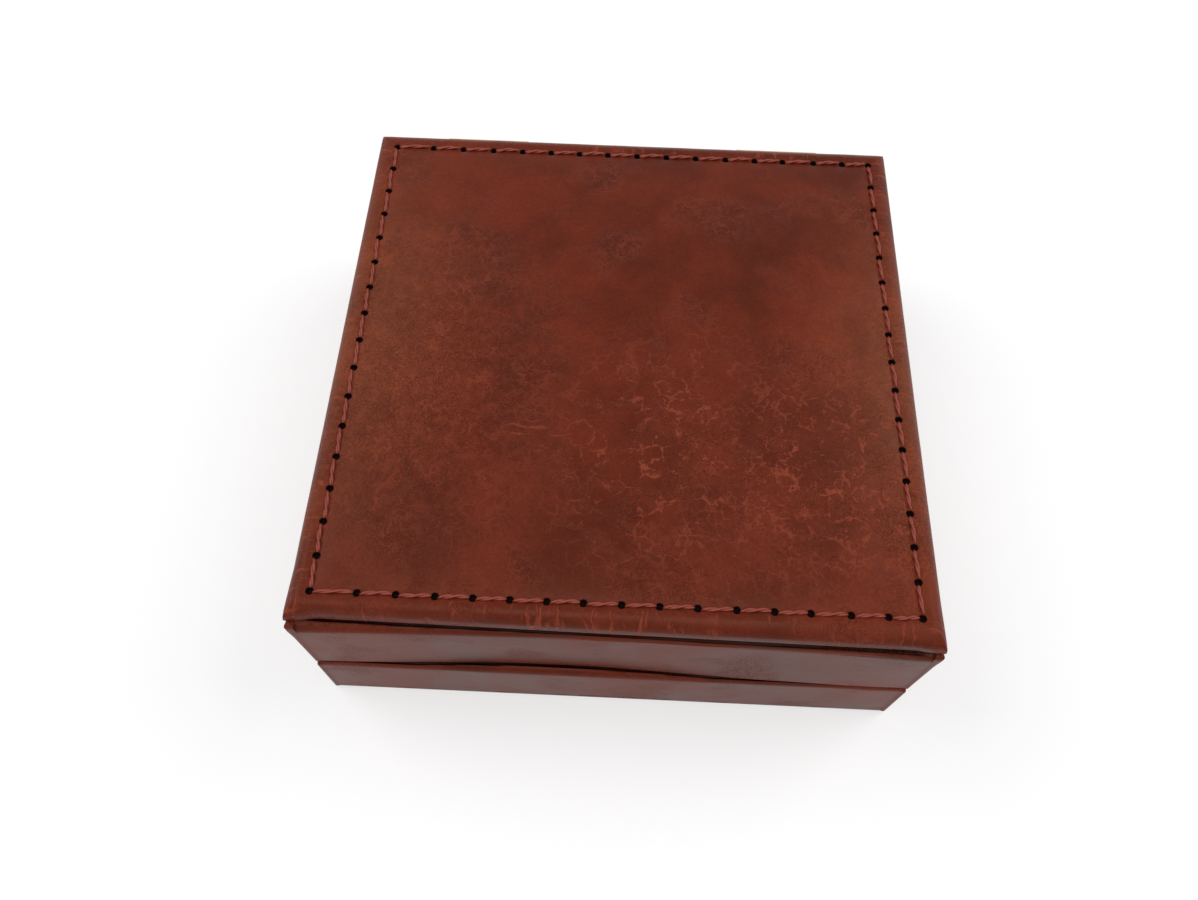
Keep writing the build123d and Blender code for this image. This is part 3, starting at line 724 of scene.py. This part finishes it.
def add_rolled_rim(plan, vertices, faces, corner, last):
    """Rings from the flat top over the rounded edge, down the side and under to the lining."""
    s = plan.s
    loop = [(k, 0) for k in range(last)] + [(last, k) for k in range(last)]
    loop += [(last - k, last) for k in range(last)] + [(0, last - k) for k in range(last)]
    base = np.array([vertices[corner(i, j)] for i, j in loop])
    low, high = base.min(0), base.max(0)
    reach = plan.high.x - high[0]
    along = np.array([(1, 0)] * last + [(0, 1)] * last + [(-1, 0)] * last + [(0, -1)] * last, float)
    outward = np.stack((along[:, 1], -along[:, 0]), 1)
    walked = np.arange(last) / last * (high[0] - low[0])
    to_start = np.tile(walked, 4)
    to_end = np.tile(high[0] - low[0] - walked, 4)
    turn = np.clip(1 - to_end / CORNER_FAN, 0, 1) - np.clip(1 - to_start / CORNER_FAN, 0, 1)
    angle = turn * math.pi / 4
    way = outward * np.cos(angle)[:, None] + along * np.sin(angle)[:, None]
    corner_fold = np.abs(turn) ** 2
    front = np.concatenate((np.ones(last), np.clip(1 - walked / (9 * MM), 0, 1), np.zeros(last),
                            np.clip(1 - walked[::-1] / (9 * MM), 0, 1)))
    from_side = np.minimum(base[:, 0] - low[0], high[0] - base[:, 0])
    at_corner = np.clip(1 - from_side / (3.4 * MM), 0, 1) ** 1.5 * np.clip(front * 1.6 - 0.6, 0, 1)
    skew = -s.skew * base[:, 0] / (plan.high.x - plan.low.x) * front
    top, hem = base[:, 2], plan.low.z
    profile = []
    start_fall = (s.roll_width - reach) / s.roll_width
    roll = plan.roll(base[:, 1])
    sunk = roll * plan.round_off(start_fall)
    for step in range(1, ROLL_STEPS + 1):
        fall = math.cos(math.acos(start_fall) * (1 - step / ROLL_STEPS))
        profile.append((s.roll_width * (fall - start_fall), top + sunk - roll * plan.round_off(fall)))
    flat = plan.rim - roll
    profile.append((reach + 0.12 * MM, flat - 0.45 * (flat - hem)))
    for offset, rise in ((0.04, 0.22), (-0.06, 0.07), (-0.20, 0.01), (-0.60, 0.0)):
        profile.append((reach + offset * MM, np.full(len(loop), hem + rise * MM)))
    rings = [[corner(i, j) for i, j in loop]]

    def add_ring(flat_xy, z):
        rings.append(list(range(len(vertices), len(vertices) + len(z))))
        vertices.extend(zip(flat_xy[:, 0], flat_xy[:, 1], z))

    for offset, z in profile:
        fullness = 0.24 + 0.12 * max(0.0, offset / reach - 0.6) / 0.4
        spot = base[:, :2] + way * (offset * (1 + fullness * corner_fold))[:, None]
        lobe = s.lobe * min(offset / reach, 1) ** 2 * at_corner * (1 - 0.45 * (base[:, 0] > 0))
        spot[:, 1] += skew * min(offset / reach, 1) - lobe
        spot[:, 0] += 0.35 * lobe * np.sign(base[:, 0])
        add_ring(spot, z)
    lining_low, lining_high = node_box("lid_lining")
    share_x = (base[:, 0] - low[0]) / (high[0] - low[0])
    share_y = (base[:, 1] - low[1]) / (high[1] - low[1])
    inner = np.stack((lining_low.x + share_x * (lining_high.x - lining_low.x),
                      lining_low.y + share_y * (lining_high.y - lining_low.y)), 1)
    add_ring(inner, np.full(len(loop), hem))
    add_ring(inner, np.full(len(loop), lining_high.z))
    for outer, inside in zip(rings, rings[1:]):
        for k in range(len(outer)):
            m = (k + 1) % len(outer)
            faces.append((outer[m], outer[k], inside[k], inside[m]))
    faces.append(tuple(reversed(rings[-1])))


def leaf_pockets(nodes, clearance):
    """Boxes that clear the hinge leaves, open at the back."""
    pockets = []
    back = node_box("lid_cover")[1].y
    for node in nodes:
        low, high = node_box(node)
        heights = [v.co.z for v in frame["nodes"][node].data.vertices if v.co.y < back - 1 * MM]
        pockets.append(box_object("pocket_" + node,
                                  (low.x - clearance, low.y - clearance, min(heights) - 1 * MM),
                                  (high.x + clearance, back + 1 * MM, max(heights))))
    return pockets


def stitch_line(plan, start, end, unevenness):
    """Path of one stitch: up at the edge of a hole, slightly slanted along the seam and down the next."""
    along = end - start
    run = along.length
    along = along / run
    side = Vector((-along.y, along.x))
    edge = plan.s.hole / 2 * 1.14
    board_top = node_box("lid_board")[1].z
    points = []
    for step in range(25):
        t = min(max((step - 3) / 18, 0), 1)
        reach = edge + t * (run - 2 * edge)
        slant = ((t - 0.5) * 0.30 + 0.10 * unevenness * math.sin(math.pi * t)) * MM
        spot = start + along * reach + side * slant
        seat = float(plan.height(np.array(spot.x), np.array(spot.y)))
        lift = 0.27 * MM * (0.25 + 0.75 * math.sin(math.pi * t) ** 0.5)
        down = max(3 - step, step - 21, 0) / 3
        points.append(Vector((spot.x, spot.y, (seat + lift) * (1 - down) + (board_top + 0.1 * MM) * down)))
    return points


def twisted_thread(points, radius, turns, sides=7):
    """Two plies laid round each other along a path, as rings of points."""
    vertices, faces = [], []
    ply = radius * 0.56
    last = len(points) - 1
    for strand in (0, 1):
        first = len(vertices)
        for k, point in enumerate(points):
            ahead = points[min(k + 1, len(points) - 1)] - points[max(k - 1, 0)]
            ahead.normalize()
            up = Vector((0, 0, 1)) if abs(ahead.z) < 0.95 else Vector((ahead.y, -ahead.x, 0.3)).normalized()
            right = ahead.cross(up).normalized()
            over = right.cross(ahead)
            angle = math.pi * strand + turns * 2 * math.pi * k / last
            slim = ply * (0.74 + 0.26 * min(min(k, last - k) / 6, 1))
            centre = point + (right * math.cos(angle) + over * math.sin(angle)) * slim * 0.72
            for side in range(sides):
                around = 2 * math.pi * side / sides
                vertices.append(centre + (right * math.cos(around) + over * math.sin(around)) * slim)
        for k in range(len(points) - 1):
            for side in range(sides):
                a, b = first + k * sides + side, first + k * sides + (side + 1) % sides
                faces.append((a, b, b + sides, a + sides))
        faces.append(tuple(reversed(range(first, first + sides))))
        faces.append(tuple(range(first + (len(points) - 1) * sides, first + len(points) * sides)))
    return vertices, faces


# ---------------------------------------------------------------- case and drawer leather
SQUARE_FOLD = 0.38             # how far a folded corner is drawn out of its round
LEFT_CHEEK = 46.0 * MM         # the left cheek starts to close the slit this far from the middle
SLIT_FLOOR = 31.2 * MM         # lowest leather that gets the painted shade inside the slit under the lid
SLIT_CUTS = [step * 0.15 * MM for step in range(-4, 6)]                      # about the lid's front edge
RAIL_TOP_CUTS = [step * MM for step in (1.4, 2.1, 2.9)]                      # down from the rail's top
DRAWER_BACK_CUTS = [step * MM for step in (0.2, 0.4, 0.6, 0.8, 1.05, 1.3, 1.6, 2.0)]
DRAWER_TOP_CUTS = [step * MM for step in (0.15, 0.35, 0.6, 0.9, 1.3)]


def smooth_step(value):
    """0 to 1 with soft ends."""
    value = min(max(value, 0.0), 1.0)
    return value * value * (3 - 2 * value)


def square_up(made, centre_x, centre_y, radius):
    """Tightens the two upright front corners, where the leather is folded square."""
    for vertex in made.data.vertices:
        co = vertex.co
        aside, ahead = abs(co.x) - centre_x, centre_y - co.y
        away = math.hypot(aside, ahead)
        if aside > 0 and ahead > 0 and away > 0.75 * radius:
            grow = 1 + SQUARE_FOLD * (2 * aside * ahead / away ** 2) ** 1.5
            co.x = math.copysign(centre_x + aside * grow, co.x)
            co.y = centre_y - ahead * grow


def swell_cheeks(made, settings):
    """Rounded lobes where the case's front corners meet the lid, the left one closing its end of the slit."""
    low, high = node_box("case_cover")
    for vertex in made.data.vertices:
        co = vertex.co
        down = high.z - co.z
        if co.y > low.y + 4 * MM or down > 6 * MM:
            continue
        near = (smooth_step(1 - (high.x - abs(co.x)) / (3.0 * MM))
                * smooth_step(1 - (co.y - low.y) / (4.0 * MM)))
        lobe = settings.cheek * near * math.exp(-(max(down - 0.8 * MM, 0.0) / (2.6 * MM)) ** 2)
        if down < 1.2 * MM and co.y < low.y + 1.6 * MM:
            lift = 0.9 * MM * smooth_step((-co.x - LEFT_CHEEK) / (2.6 * MM))
            co.z += min(lift, max(down - 0.05 * MM, 0.0))
        co.x += math.copysign(lobe, co.x)
        co.y -= 0.4 * lobe


def lid_slit(lid, x):
    """Where the dark slit under the lid starts, along the lid's skewed front edge."""
    low, high = node_box("lid_cover")
    return low.y - 0.06 * MM - lid.skew * x / (high.x - low.x)


def lower_edge(settings, x):
    """Where the rail's lower edge lies, front to back."""
    ends = node_box("front_rail")[0].y - LEATHER_SHEET
    return ends - settings.proud * 0.6 + (settings.bow - settings.proud * 0.4) * rail_bow(x)


def rail_bow(x):
    """0 at the ends of the rail and 1 at its deepest, a little left of the middle."""
    away = x + 10 * MM
    reach = 46 * MM if away < 0 else 54 * MM
    return math.cos(math.pi / 2 * min(abs(away) / reach, 1)) ** 2


def shape_rail(made, settings, lid):
    """Leather of the upper band: proud at the corners, its lower edge lying back towards the middle."""
    case, rail, drawer = node_box("case_cover"), node_box("front_rail"), node_box("drawer_front_cover")
    board_face = rail[0].y
    face_ends = board_face - LEATHER_SHEET
    half, face_bow = case[1].x, 0.6 * MM
    low, high = drawer[1].z, rail[1].z
    for vertex in made.data.vertices:
        co = vertex.co
        if co.z < low - 0.2 * MM or co.y > board_face + 2 * MM:
            continue
        across = max(0.0, 1 - (co.x / half) ** 2)
        face = face_ends + face_bow * across
        behind = co.y - face
        top = face_ends - settings.proud + (face_bow + settings.proud) * across
        lower = lower_edge(settings, co.x)
        low_down = smooth_step((high - 2 * MM - co.z) / (high - 2 * MM - low))
        target = top + (lower - top) * low_down
        depth = 0.5 * MM + 1.2 * MM * smooth_step((co.z - high + 3 * MM) / (2 * MM))
        share = 1 - smooth_step((behind - 0.15 * MM) / depth)
        wave = settings.waviness * across * float(waves(co.x, co.z, 26 * MM, 2.7))
        limit = board_face + face_bow * across - 0.12 * MM
        if co.z > high - 0.9 * MM and abs(co.x) < half - 1.6 * MM and co.y < board_face + 1.8 * MM:
            co.z -= settings.sink * smooth_step((co.y - lid_slit(lid, co.x)) / (0.3 * MM))
        co.y = max(min(co.y + (target - face + wave) * share, max(limit, co.y)), drawer[0].y)


def ease_faces(made, settings, low, high):
    """Slow unevenness of glued leather on the flat faces."""
    for vertex in made.data.vertices:
        co = vertex.co
        wave = settings.waviness * float(waves(co.x + co.y * 0.8, co.z, 30 * MM, 2.7))
        inside = min(co.z - low.z, high.z - co.z) / (2 * MM)
        wave = abs(wave) * smooth_step(inside)
        if abs(abs(co.x) - high.x) < 0.05 * MM:
            co.x -= math.copysign(wave, co.x)
        elif abs(co.y - high.y) < 0.05 * MM or abs(co.y - low.y) < 0.05 * MM:
            co.y -= math.copysign(wave, co.y)


# ---------------------------------------------------------------- padded velvet
CLOTH_SCALE = 10.0     # the cloth solver works on a pad ten times as large
CLOTH_FRAMES = 20
ROLL_WALL = 0.1 * MM   # how far a roll's sides may pass the plain solid, a third of the gap


def blown_roll(size, settings):
    """Mesh of one cushion roll, swollen by air pressure as cloth, its foot at z = 0."""
    start = box_object("roll_skin", (-size.x / 2 + 1.0 * MM, -size.y / 2 + 0.7 * MM, 0.0),
                       (size.x / 2 - 1.0 * MM, size.y / 2 - 0.7 * MM, size.z - 0.9 * MM))
    soften(start, 2.2 * MM, 4)
    for vertex in start.data.vertices:
        vertex.co *= CLOTH_SCALE
    remesh = start.modifiers.new("even skin", "REMESH")
    remesh.mode = "VOXEL"
    remesh.voxel_size = settings.pad_cell * CLOTH_SCALE
    keep_modifiers(start)
    before = [vertex.co.copy() for vertex in start.data.vertices]
    cloth = start.modifiers.new("cloth", "CLOTH")
    cloth.settings.quality = 4
    cloth.settings.use_pressure = True
    cloth.settings.uniform_pressure_force = 4.0
    cloth.settings.effector_weights.gravity = 0.0
    for moment in range(1, CLOTH_FRAMES + 1):
        bpy.context.scene.frame_set(moment)
    keep_modifiers(start)
    bpy.context.scene.frame_set(1)
    for vertex, old in zip(start.data.vertices, before):
        move = vertex.co - old
        reach = settings.pad_swell * CLOTH_SCALE
        if move.length > reach:
            move *= reach / move.length
        vertex.co = (old + move) / CLOTH_SCALE
    finer = start.modifiers.new("finer", "SUBSURF")
    finer.levels = 1
    keep_modifiers(start)
    mesh = start.data
    bpy.data.objects.remove(start)
    return mesh


def settle_roll(made, node, number, settings):
    """Sets a roll in its place: foot on the floor, sides by its neighbours, gathered at both ends."""
    low, high = node_box(node)
    middle = (low + high) / 2
    depth = (high.y - low.y) / 2
    for vertex in made.data.vertices:
        co = vertex.co
        from_end = (high.x - low.x) / 2 - abs(co.x)
        across = min(abs(co.y) / depth, 1)
        up = smooth_step(co.z / (3 * MM))
        gather = 0.5 + 0.5 * math.cos(co.y * 2 * math.pi / (2.7 * MM) + 1.9 * number + co.x * 300)
        pulled = math.exp(-(max(from_end, 0.0) / (2.4 * MM)) ** 1.4)
        crown = 0.55 * MM * (1 - across ** 2) * smooth_step(from_end / (14 * MM))
        dent = 0.16 * MM * float(waves(co.x, co.y + 30 * MM * number, 22 * MM, 0.9 + number))
        co.z += up * (crown + dent - settings.tuck * pulled * (1 + gather))
        co.x *= 1 - 0.004 * up * across ** 2
        co.y -= math.copysign(up * 0.25 * MM * (1 - smooth_step(from_end / (9 * MM))) * across, co.y)
        co.x = min(max(co.x, low.x), high.x)
        co.y = middle.y + min(max(co.y, -depth - ROLL_WALL), depth + ROLL_WALL)
        co.z = low.z + max(co.z, 0.0)


def pad_lid(made, settings):
    """Crown, drawn-in sides and a sewn border on the face of the lid's lining."""
    low, high = node_box("lid_lining")
    middle, half = (low + high) / 2, (high - low) / 2
    for vertex in made.data.vertices:
        co = vertex.co
        if co.z > low.z + 0.4 * (high.z - low.z):
            continue
        u, v = (co.x - middle.x) / half.x, (co.y - middle.y) / half.y
        inset = min(half.x - abs(co.x - middle.x), half.y - abs(co.y - middle.y))
        swell = (1 - u ** 4) * (1 - v ** 4) * smooth_step(inset / (9 * MM))
        seam = math.exp(-((inset - 4.8 * MM) / (0.9 * MM)) ** 2)
        rolled = (1 - math.sqrt(max(0.0, 1 - max(0.0, 1 - inset / (2.2 * MM)) ** 2))) * 0.8 * MM
        puff = 0.3 * math.exp(-((inset - 2.4 * MM) / (1.6 * MM)) ** 2)
        ripple = 0.07 * float(waves(co.x, co.y, 16 * MM, 5.2)) * smooth_step(inset / (8 * MM))
        co.z += rolled + 0.4 * MM * seam - settings.pad_crown * (swell + puff + ripple)
        co.x -= math.copysign(0.45 * MM * (1 - v ** 2) * smooth_step(abs(u) * 6 - 5), u)
        co.y -= math.copysign(0.45 * MM * (1 - u ** 2) * smooth_step(abs(v) * 6 - 5), v)


# ---------------------------------------------------------------- operators
def finish_nodes(finishes):
    """Gives the CAD pieces that keep their own shape the finish of their material slot."""
    for part in frame["record"]["subparts"]:
        if part["material_slot"] in finishes:
            materials = frame["nodes"][part["node"]].data.materials
            materials.clear()
            materials.append(finishes[part["material_slot"]])


class BoxOperator:
    bl_options = {"REGISTER", "UNDO"}

    @staticmethod
    def settings(context):
        return context.scene.cufflink_box


class CUFFLINKBOX_OT_lid_leather(BoxOperator, bpy.types.Operator):
    """Make the lid's leather with its sunken seam, needle holes and rolled rim"""
    bl_idname = "cufflink_box.lid_leather"
    bl_label = "Lid leather"

    def execute(self, context):
        settings = self.settings(context)
        vertices, faces, dark = lid_leather_mesh(LidPlan(settings.lid))
        made = mesh_object("lid_leather", vertices, faces, leather("lid leather", settings.leather, True), 50)
        # painted shade inside the needle holes
        made.data.materials.append(hole_painted_shade("needle hole"))
        made.data.polygons.foreach_set("material_index", [int(k in dark) for k in range(len(faces))])
        carve(made, leaf_pockets(("hinge_leaf_lid_left", "hinge_leaf_lid_right"), 0.1 * MM))
        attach(made, "lid")
        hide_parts("lid_cover")
        return {"FINISHED"}


class CUFFLINKBOX_OT_lid_stitches(BoxOperator, bpy.types.Operator):
    """Lay a twisted stitch between each pair of needle holes"""
    bl_idname = "cufflink_box.lid_stitches"
    bl_label = "Lid stitches"

    def execute(self, context):
        settings = self.settings(context)
        plan = LidPlan(settings.lid)
        holes = plan.holes()
        vertices, faces = [], []
        for number, (start, end) in enumerate(zip(holes, holes[1:] + holes[:1])):
            points = stitch_line(plan, start, end, math.sin(number * 2.4))
            some, joins = twisted_thread(points, settings.lid.thread / 2, 1.3)
            faces += [tuple(i + len(vertices) for i in face) for face in joins]
            vertices += some
        made = mesh_object("lid_stitches", vertices, faces, waxed_thread("waxed thread"), 80)
        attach(made, "lid")
        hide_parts("lid_thread")
        return {"FINISHED"}


class CUFFLINKBOX_OT_case_leather(BoxOperator, bpy.types.Operator):
    """Shape the leather glued over the case"""
    bl_idname = "cufflink_box.case_leather"
    bl_label = "Case leather"

    def execute(self, context):
        settings = self.settings(context)
        low, high = node_box("case_cover")
        made = refined_copy("case_cover", "case_leather", settings.front.cell,
                            [(1, node_box("lid_cover")[0].y + behind) for behind in SLIT_CUTS]
                            + [(2, high.z - down) for down in RAIL_TOP_CUTS])
        ease_faces(made, settings.front, low, high)
        face = node_box("front_rail")[0].y - LEATHER_SHEET
        square_up(made, high.x - CORNER_TURN, face + CORNER_TURN, CORNER_TURN)
        shape_rail(made, settings.front, settings.lid)
        swell_cheeks(made, settings.front)
        soften(made, settings.front.edge)
        # painted shade inside the slit under the lid
        paint_slit_shade(made, lambda co: smooth_step((co.y - lid_slit(settings.lid, co.x)) / (0.2 * MM))
                  * smooth_step((co.z - SLIT_FLOOR) / (0.3 * MM)) * float(co.y < low.y + 4 * MM)
                  * float(abs(co.x) < high.x - 0.8 * MM))
        finish_mesh(made, leather("case leather", settings.leather), 50)
        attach(made, "case")
        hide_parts("case_cover")
        return {"FINISHED"}


class CUFFLINKBOX_OT_drawer_leather(BoxOperator, bpy.types.Operator):
    """Shape the leather on the drawer front"""
    bl_idname = "cufflink_box.drawer_leather"
    bl_label = "Drawer leather"

    def execute(self, context):
        settings = self.settings(context)
        low, high = node_box("drawer_front_cover")
        made = refined_copy("drawer_front_cover", "drawer_leather", settings.front.cell,
                            [(1, low.y + behind) for behind in DRAWER_BACK_CUTS]
                            + [(2, high.z - down) for down in DRAWER_TOP_CUTS])
        ease_faces(made, settings.front, low, high)
        square_up(made, high.x - CORNER_TURN, low.y + CORNER_TURN, CORNER_TURN)

        def slit(co):
            return max(lower_edge(settings.front, co.x) - 0.40 * MM, low.y + 0.42 * MM)

        for vertex in made.data.vertices:
            co = vertex.co
            if co.y < low.y + 0.1 * MM:
                fall = min(max((co.z - high.z) / SHOULDER + 1, 0), 1)
                co.y += 0.5 * MM * (1 - math.sqrt(1 - fall ** 2))
            if co.z > high.z - 0.7 * MM:
                co.z -= settings.front.sink * smooth_step((co.y - slit(co)) / (0.35 * MM))
        soften(made, settings.front.edge)
        # painted shade inside the slit over the drawer
        paint_slit_shade(made, lambda co: smooth_step((co.y - slit(co)) / (0.25 * MM))
                  * smooth_step((co.z - high.z + 1.4 * MM) / (0.3 * MM)))
        finish_mesh(made, leather("drawer leather", settings.leather), 50)
        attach(made, "drawer")
        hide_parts("drawer_front_cover")
        return {"FINISHED"}


class CUFFLINKBOX_OT_linings(BoxOperator, bpy.types.Operator):
    """Line the compartment, the drawer and the lid with velvet"""
    bl_idname = "cufflink_box.linings"
    bl_label = "Linings"

    def execute(self, context):
        settings = self.settings(context)
        pile = velvet("velvet lining", settings.inside.velvet)
        for node, body in (("compartment_lining", "case"), ("drawer_lining", "drawer"),
                           ("lid_lining", "lid")):
            cell = 1.6 * MM if body == "lid" else 3 * MM
            made = refined_copy(node, node.replace("_lining", "_velvet"), cell)
            if body == "lid":
                pad_lid(made, settings.inside)
            soften(made, 0.25 * MM)
            finish_mesh(made, pile, 50)
            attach(made, body)
            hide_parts(node)
        return {"FINISHED"}


class CUFFLINKBOX_OT_cushion_rolls(BoxOperator, bpy.types.Operator):
    """Pad the cushion rolls"""
    bl_idname = "cufflink_box.cushion_rolls"
    bl_label = "Cushion rolls"

    def execute(self, context):
        settings = self.settings(context)
        pile = velvet("roll velvet", settings.inside.velvet)
        nodes = sorted(n for n in frame["nodes"] if n.startswith("cushion_roll"))
        low, high = node_box(nodes[0])
        skin = blown_roll(high - low, settings.inside)
        for number, node in enumerate(nodes):
            made = bpy.data.objects.new(node.replace("cushion", "padded"), skin.copy())
            context.scene.collection.objects.link(made)
            settle_roll(made, node, number, settings.inside)
            finish_mesh(made, pile, 60)
            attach(made, "case")
            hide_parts(node)
        return {"FINISHED"}


class CUFFLINKBOX_OT_boards(BoxOperator, bpy.types.Operator):
    """Finish the boards, the foam and the felt pad"""
    bl_idname = "cufflink_box.boards"
    bl_label = "Boards"

    def execute(self, context):
        settings = self.settings(context)
        paper = covered_board("board paper", settings.inside.board)
        pad = felt("pad felt", settings.inside.felt)
        finish_nodes({"board": paper, "foam": pad, "felt": pad})
        return {"FINISHED"}


class CUFFLINKBOX_OT_metal(BoxOperator, bpy.types.Operator):
    """Finish the hinges, nails and magnets"""
    bl_idname = "cufflink_box.metal"
    bl_label = "Metal"

    def execute(self, context):
        settings = self.settings(context)
        finish_nodes({"brass": brushed_metal("hinge brass", settings.inside.brass, 0.30),
                      "magnet": brushed_metal("magnet plating", NICKEL, 0.35)})
        return {"FINISHED"}


NICKEL = (0.55, 0.55, 0.56)
FLOOR_REACH = 4.0
CAMERA_AT = (-1.527 * MM, -95.534 * MM, 175.178 * MM)
CAMERA_TURN = (2.64350925, 0.0619111173, -0.00252111124)    # rotation vector, world to camera
LAMPS = (("left softbox", (-0.62, 0.24, 0.75), 0.85, 38.0),    # name, side it stands on, strength, degrees
         ("right softbox", (0.64, 0.28, 0.72), 0.85, 38.0),
         ("front softbox", (0.0, -0.34, 0.94), 1.30, 45.0))


def camera_matrix():
    """Place and direction of the photograph's camera."""
    turn = Vector(CAMERA_TURN)
    world_to_view = Matrix.Rotation(turn.length, 3, turn.normalized())
    flip = Matrix(((1, 0, 0), (0, -1, 0), (0, 0, -1)))
    rotation = (flip @ world_to_view).transposed().to_4x4()
    return Matrix.Translation(CAMERA_AT) @ rotation


class CUFFLINKBOX_OT_stage(BoxOperator, bpy.types.Operator):
    """Set up the camera, the floor and the light"""
    bl_idname = "cufflink_box.stage"
    bl_label = "Stage"

    def execute(self, context):
        settings = self.settings(context).stage
        scene = context.scene
        scene.view_settings.view_transform = "Standard"
        lens = bpy.data.cameras.new("camera")
        lens.lens = settings.lens
        lens.sensor_width = 36.0
        lens.clip_start, lens.clip_end = 0.01, 20.0
        camera = bpy.data.objects.new("camera", lens)
        camera.matrix_world = camera_matrix()
        scene.collection.objects.link(camera)
        scene.camera = camera
        self.floor(settings)
        self.light(settings, scene)
        return {"FINISHED"}

    def floor(self, settings):
        sheet = [(FLOOR_REACH * x, FLOOR_REACH * y, 0) for x, y in ((-1, -1), (1, -1), (1, 1), (-1, 1))]
        made = mesh_object("floor", sheet, [(0, 1, 2, 3)], self.floor_paint(settings))
        made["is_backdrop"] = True

    def floor_paint(self, settings):
        """Pale matt floor; the camera and reflections see it lifted to white, with its shadow kept."""
        n = Nodes("floor")
        n.set(n.shader, {"Base Color": rgba(settings.floor), "Roughness": 0.9, "Specular IOR Level": 0.0})
        glow = n.tree.nodes.new("ShaderNodeEmission")
        glow.inputs["Strength"].default_value = settings.lift
        matt = n.tree.nodes.new("ShaderNodeBsdfDiffuse")
        matt.inputs["Color"].default_value = rgba([1.04 - settings.lift] * 3)
        seen = n.tree.nodes.new("ShaderNodeAddShader")
        n.link(glow.outputs[0], seen.inputs[0])
        n.link(matt.outputs[0], seen.inputs[1])
        ray = n.tree.nodes.new("ShaderNodeLightPath").outputs
        looking = n.largest(ray["Is Camera Ray"], ray["Is Glossy Ray"], ray["Is Transmission Ray"])
        choice = n.tree.nodes.new("ShaderNodeMixShader")
        n.link(looking, choice.inputs[0])
        n.link(n.shader.outputs[0], choice.inputs[1])
        n.link(seen.outputs[0], choice.inputs[2])
        n.link(choice.outputs[0], n.output.inputs["Surface"])
        return n.material

    def light(self, settings, scene):
        """A weak even sky, seen as white by the camera and by reflections, and three soft lamps."""
        world = bpy.data.worlds.new("sky")
        world.use_nodes = True
        tree = world.node_tree
        sky = tree.nodes["Background"]
        sky.inputs["Color"].default_value = (1, 1, 1, 1)
        sky.inputs["Strength"].default_value = settings.sky
        backdrop = tree.nodes.new("ShaderNodeBackground")
        choice = tree.nodes.new("ShaderNodeMixShader")
        ray = tree.nodes.new("ShaderNodeLightPath").outputs
        looking = ray["Is Camera Ray"]
        for kind in ("Is Glossy Ray", "Is Transmission Ray"):
            either = tree.nodes.new("ShaderNodeMath")
            either.operation = "MAXIMUM"
            tree.links.new(looking, either.inputs[0])
            tree.links.new(ray[kind], either.inputs[1])
            looking = either.outputs[0]
        tree.links.new(looking, choice.inputs[0])
        tree.links.new(sky.outputs[0], choice.inputs[1])
        tree.links.new(backdrop.outputs[0], choice.inputs[2])
        tree.links.new(choice.outputs[0], tree.nodes["World Output"].inputs["Surface"])
        scene.world = world
        for name, toward, strength, spread in LAMPS:
            lamp = bpy.data.lights.new(name, "SUN")
            lamp.energy = strength
            lamp.angle = math.radians(spread)
            made = bpy.data.objects.new(name, lamp)
            made.rotation_euler = Vector(toward).to_track_quat("Z", "Y").to_euler()
            scene.collection.objects.link(made)


class CUFFLINKBOX_PT_pieces(bpy.types.Panel):
    """Lists the pieces and the settings"""
    bl_idname = "CUFFLINKBOX_PT_pieces"
    bl_label = "Cufflink box"
    bl_space_type = "VIEW_3D"
    bl_region_type = "UI"
    bl_category = "Cufflink box"

    def draw(self, context):
        for operator in OPERATORS:
            self.layout.operator(operator.bl_idname)
        settings = context.scene.cufflink_box
        for group in (settings.leather, settings.lid, settings.front, settings.inside, settings.stage):
            box = self.layout.box()
            for name in group.__annotations__:
                box.prop(group, name)


SETTINGS = (LeatherSettings, LidSettings, FrontSettings, InsideSettings, StageSettings, BoxSettings)
OPERATORS = (CUFFLINKBOX_OT_stage, CUFFLINKBOX_OT_lid_leather, CUFFLINKBOX_OT_lid_stitches,
             CUFFLINKBOX_OT_case_leather, CUFFLINKBOX_OT_drawer_leather, CUFFLINKBOX_OT_linings,
             CUFFLINKBOX_OT_cushion_rolls, CUFFLINKBOX_OT_boards, CUFFLINKBOX_OT_metal)
CLASSES = SETTINGS + OPERATORS + (CUFFLINKBOX_PT_pieces,)


def register():
    for cls in CLASSES:
        bpy.utils.register_class(cls)
    bpy.types.Scene.cufflink_box = PointerProperty(type=BoxSettings)


def unregister():
    del bpy.types.Scene.cufflink_box
    for cls in reversed(CLASSES):
        bpy.utils.unregister_class(cls)


def corners():
    """Lowest and highest corners of everything but the stage."""
    return [list(corner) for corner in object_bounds()]


def main():
    register()
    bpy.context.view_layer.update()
    for operator in OPERATORS:
        group, name = operator.bl_idname.split(".")
        getattr(getattr(bpy.ops, group), name)()


if __name__ == "__main__":
    main()
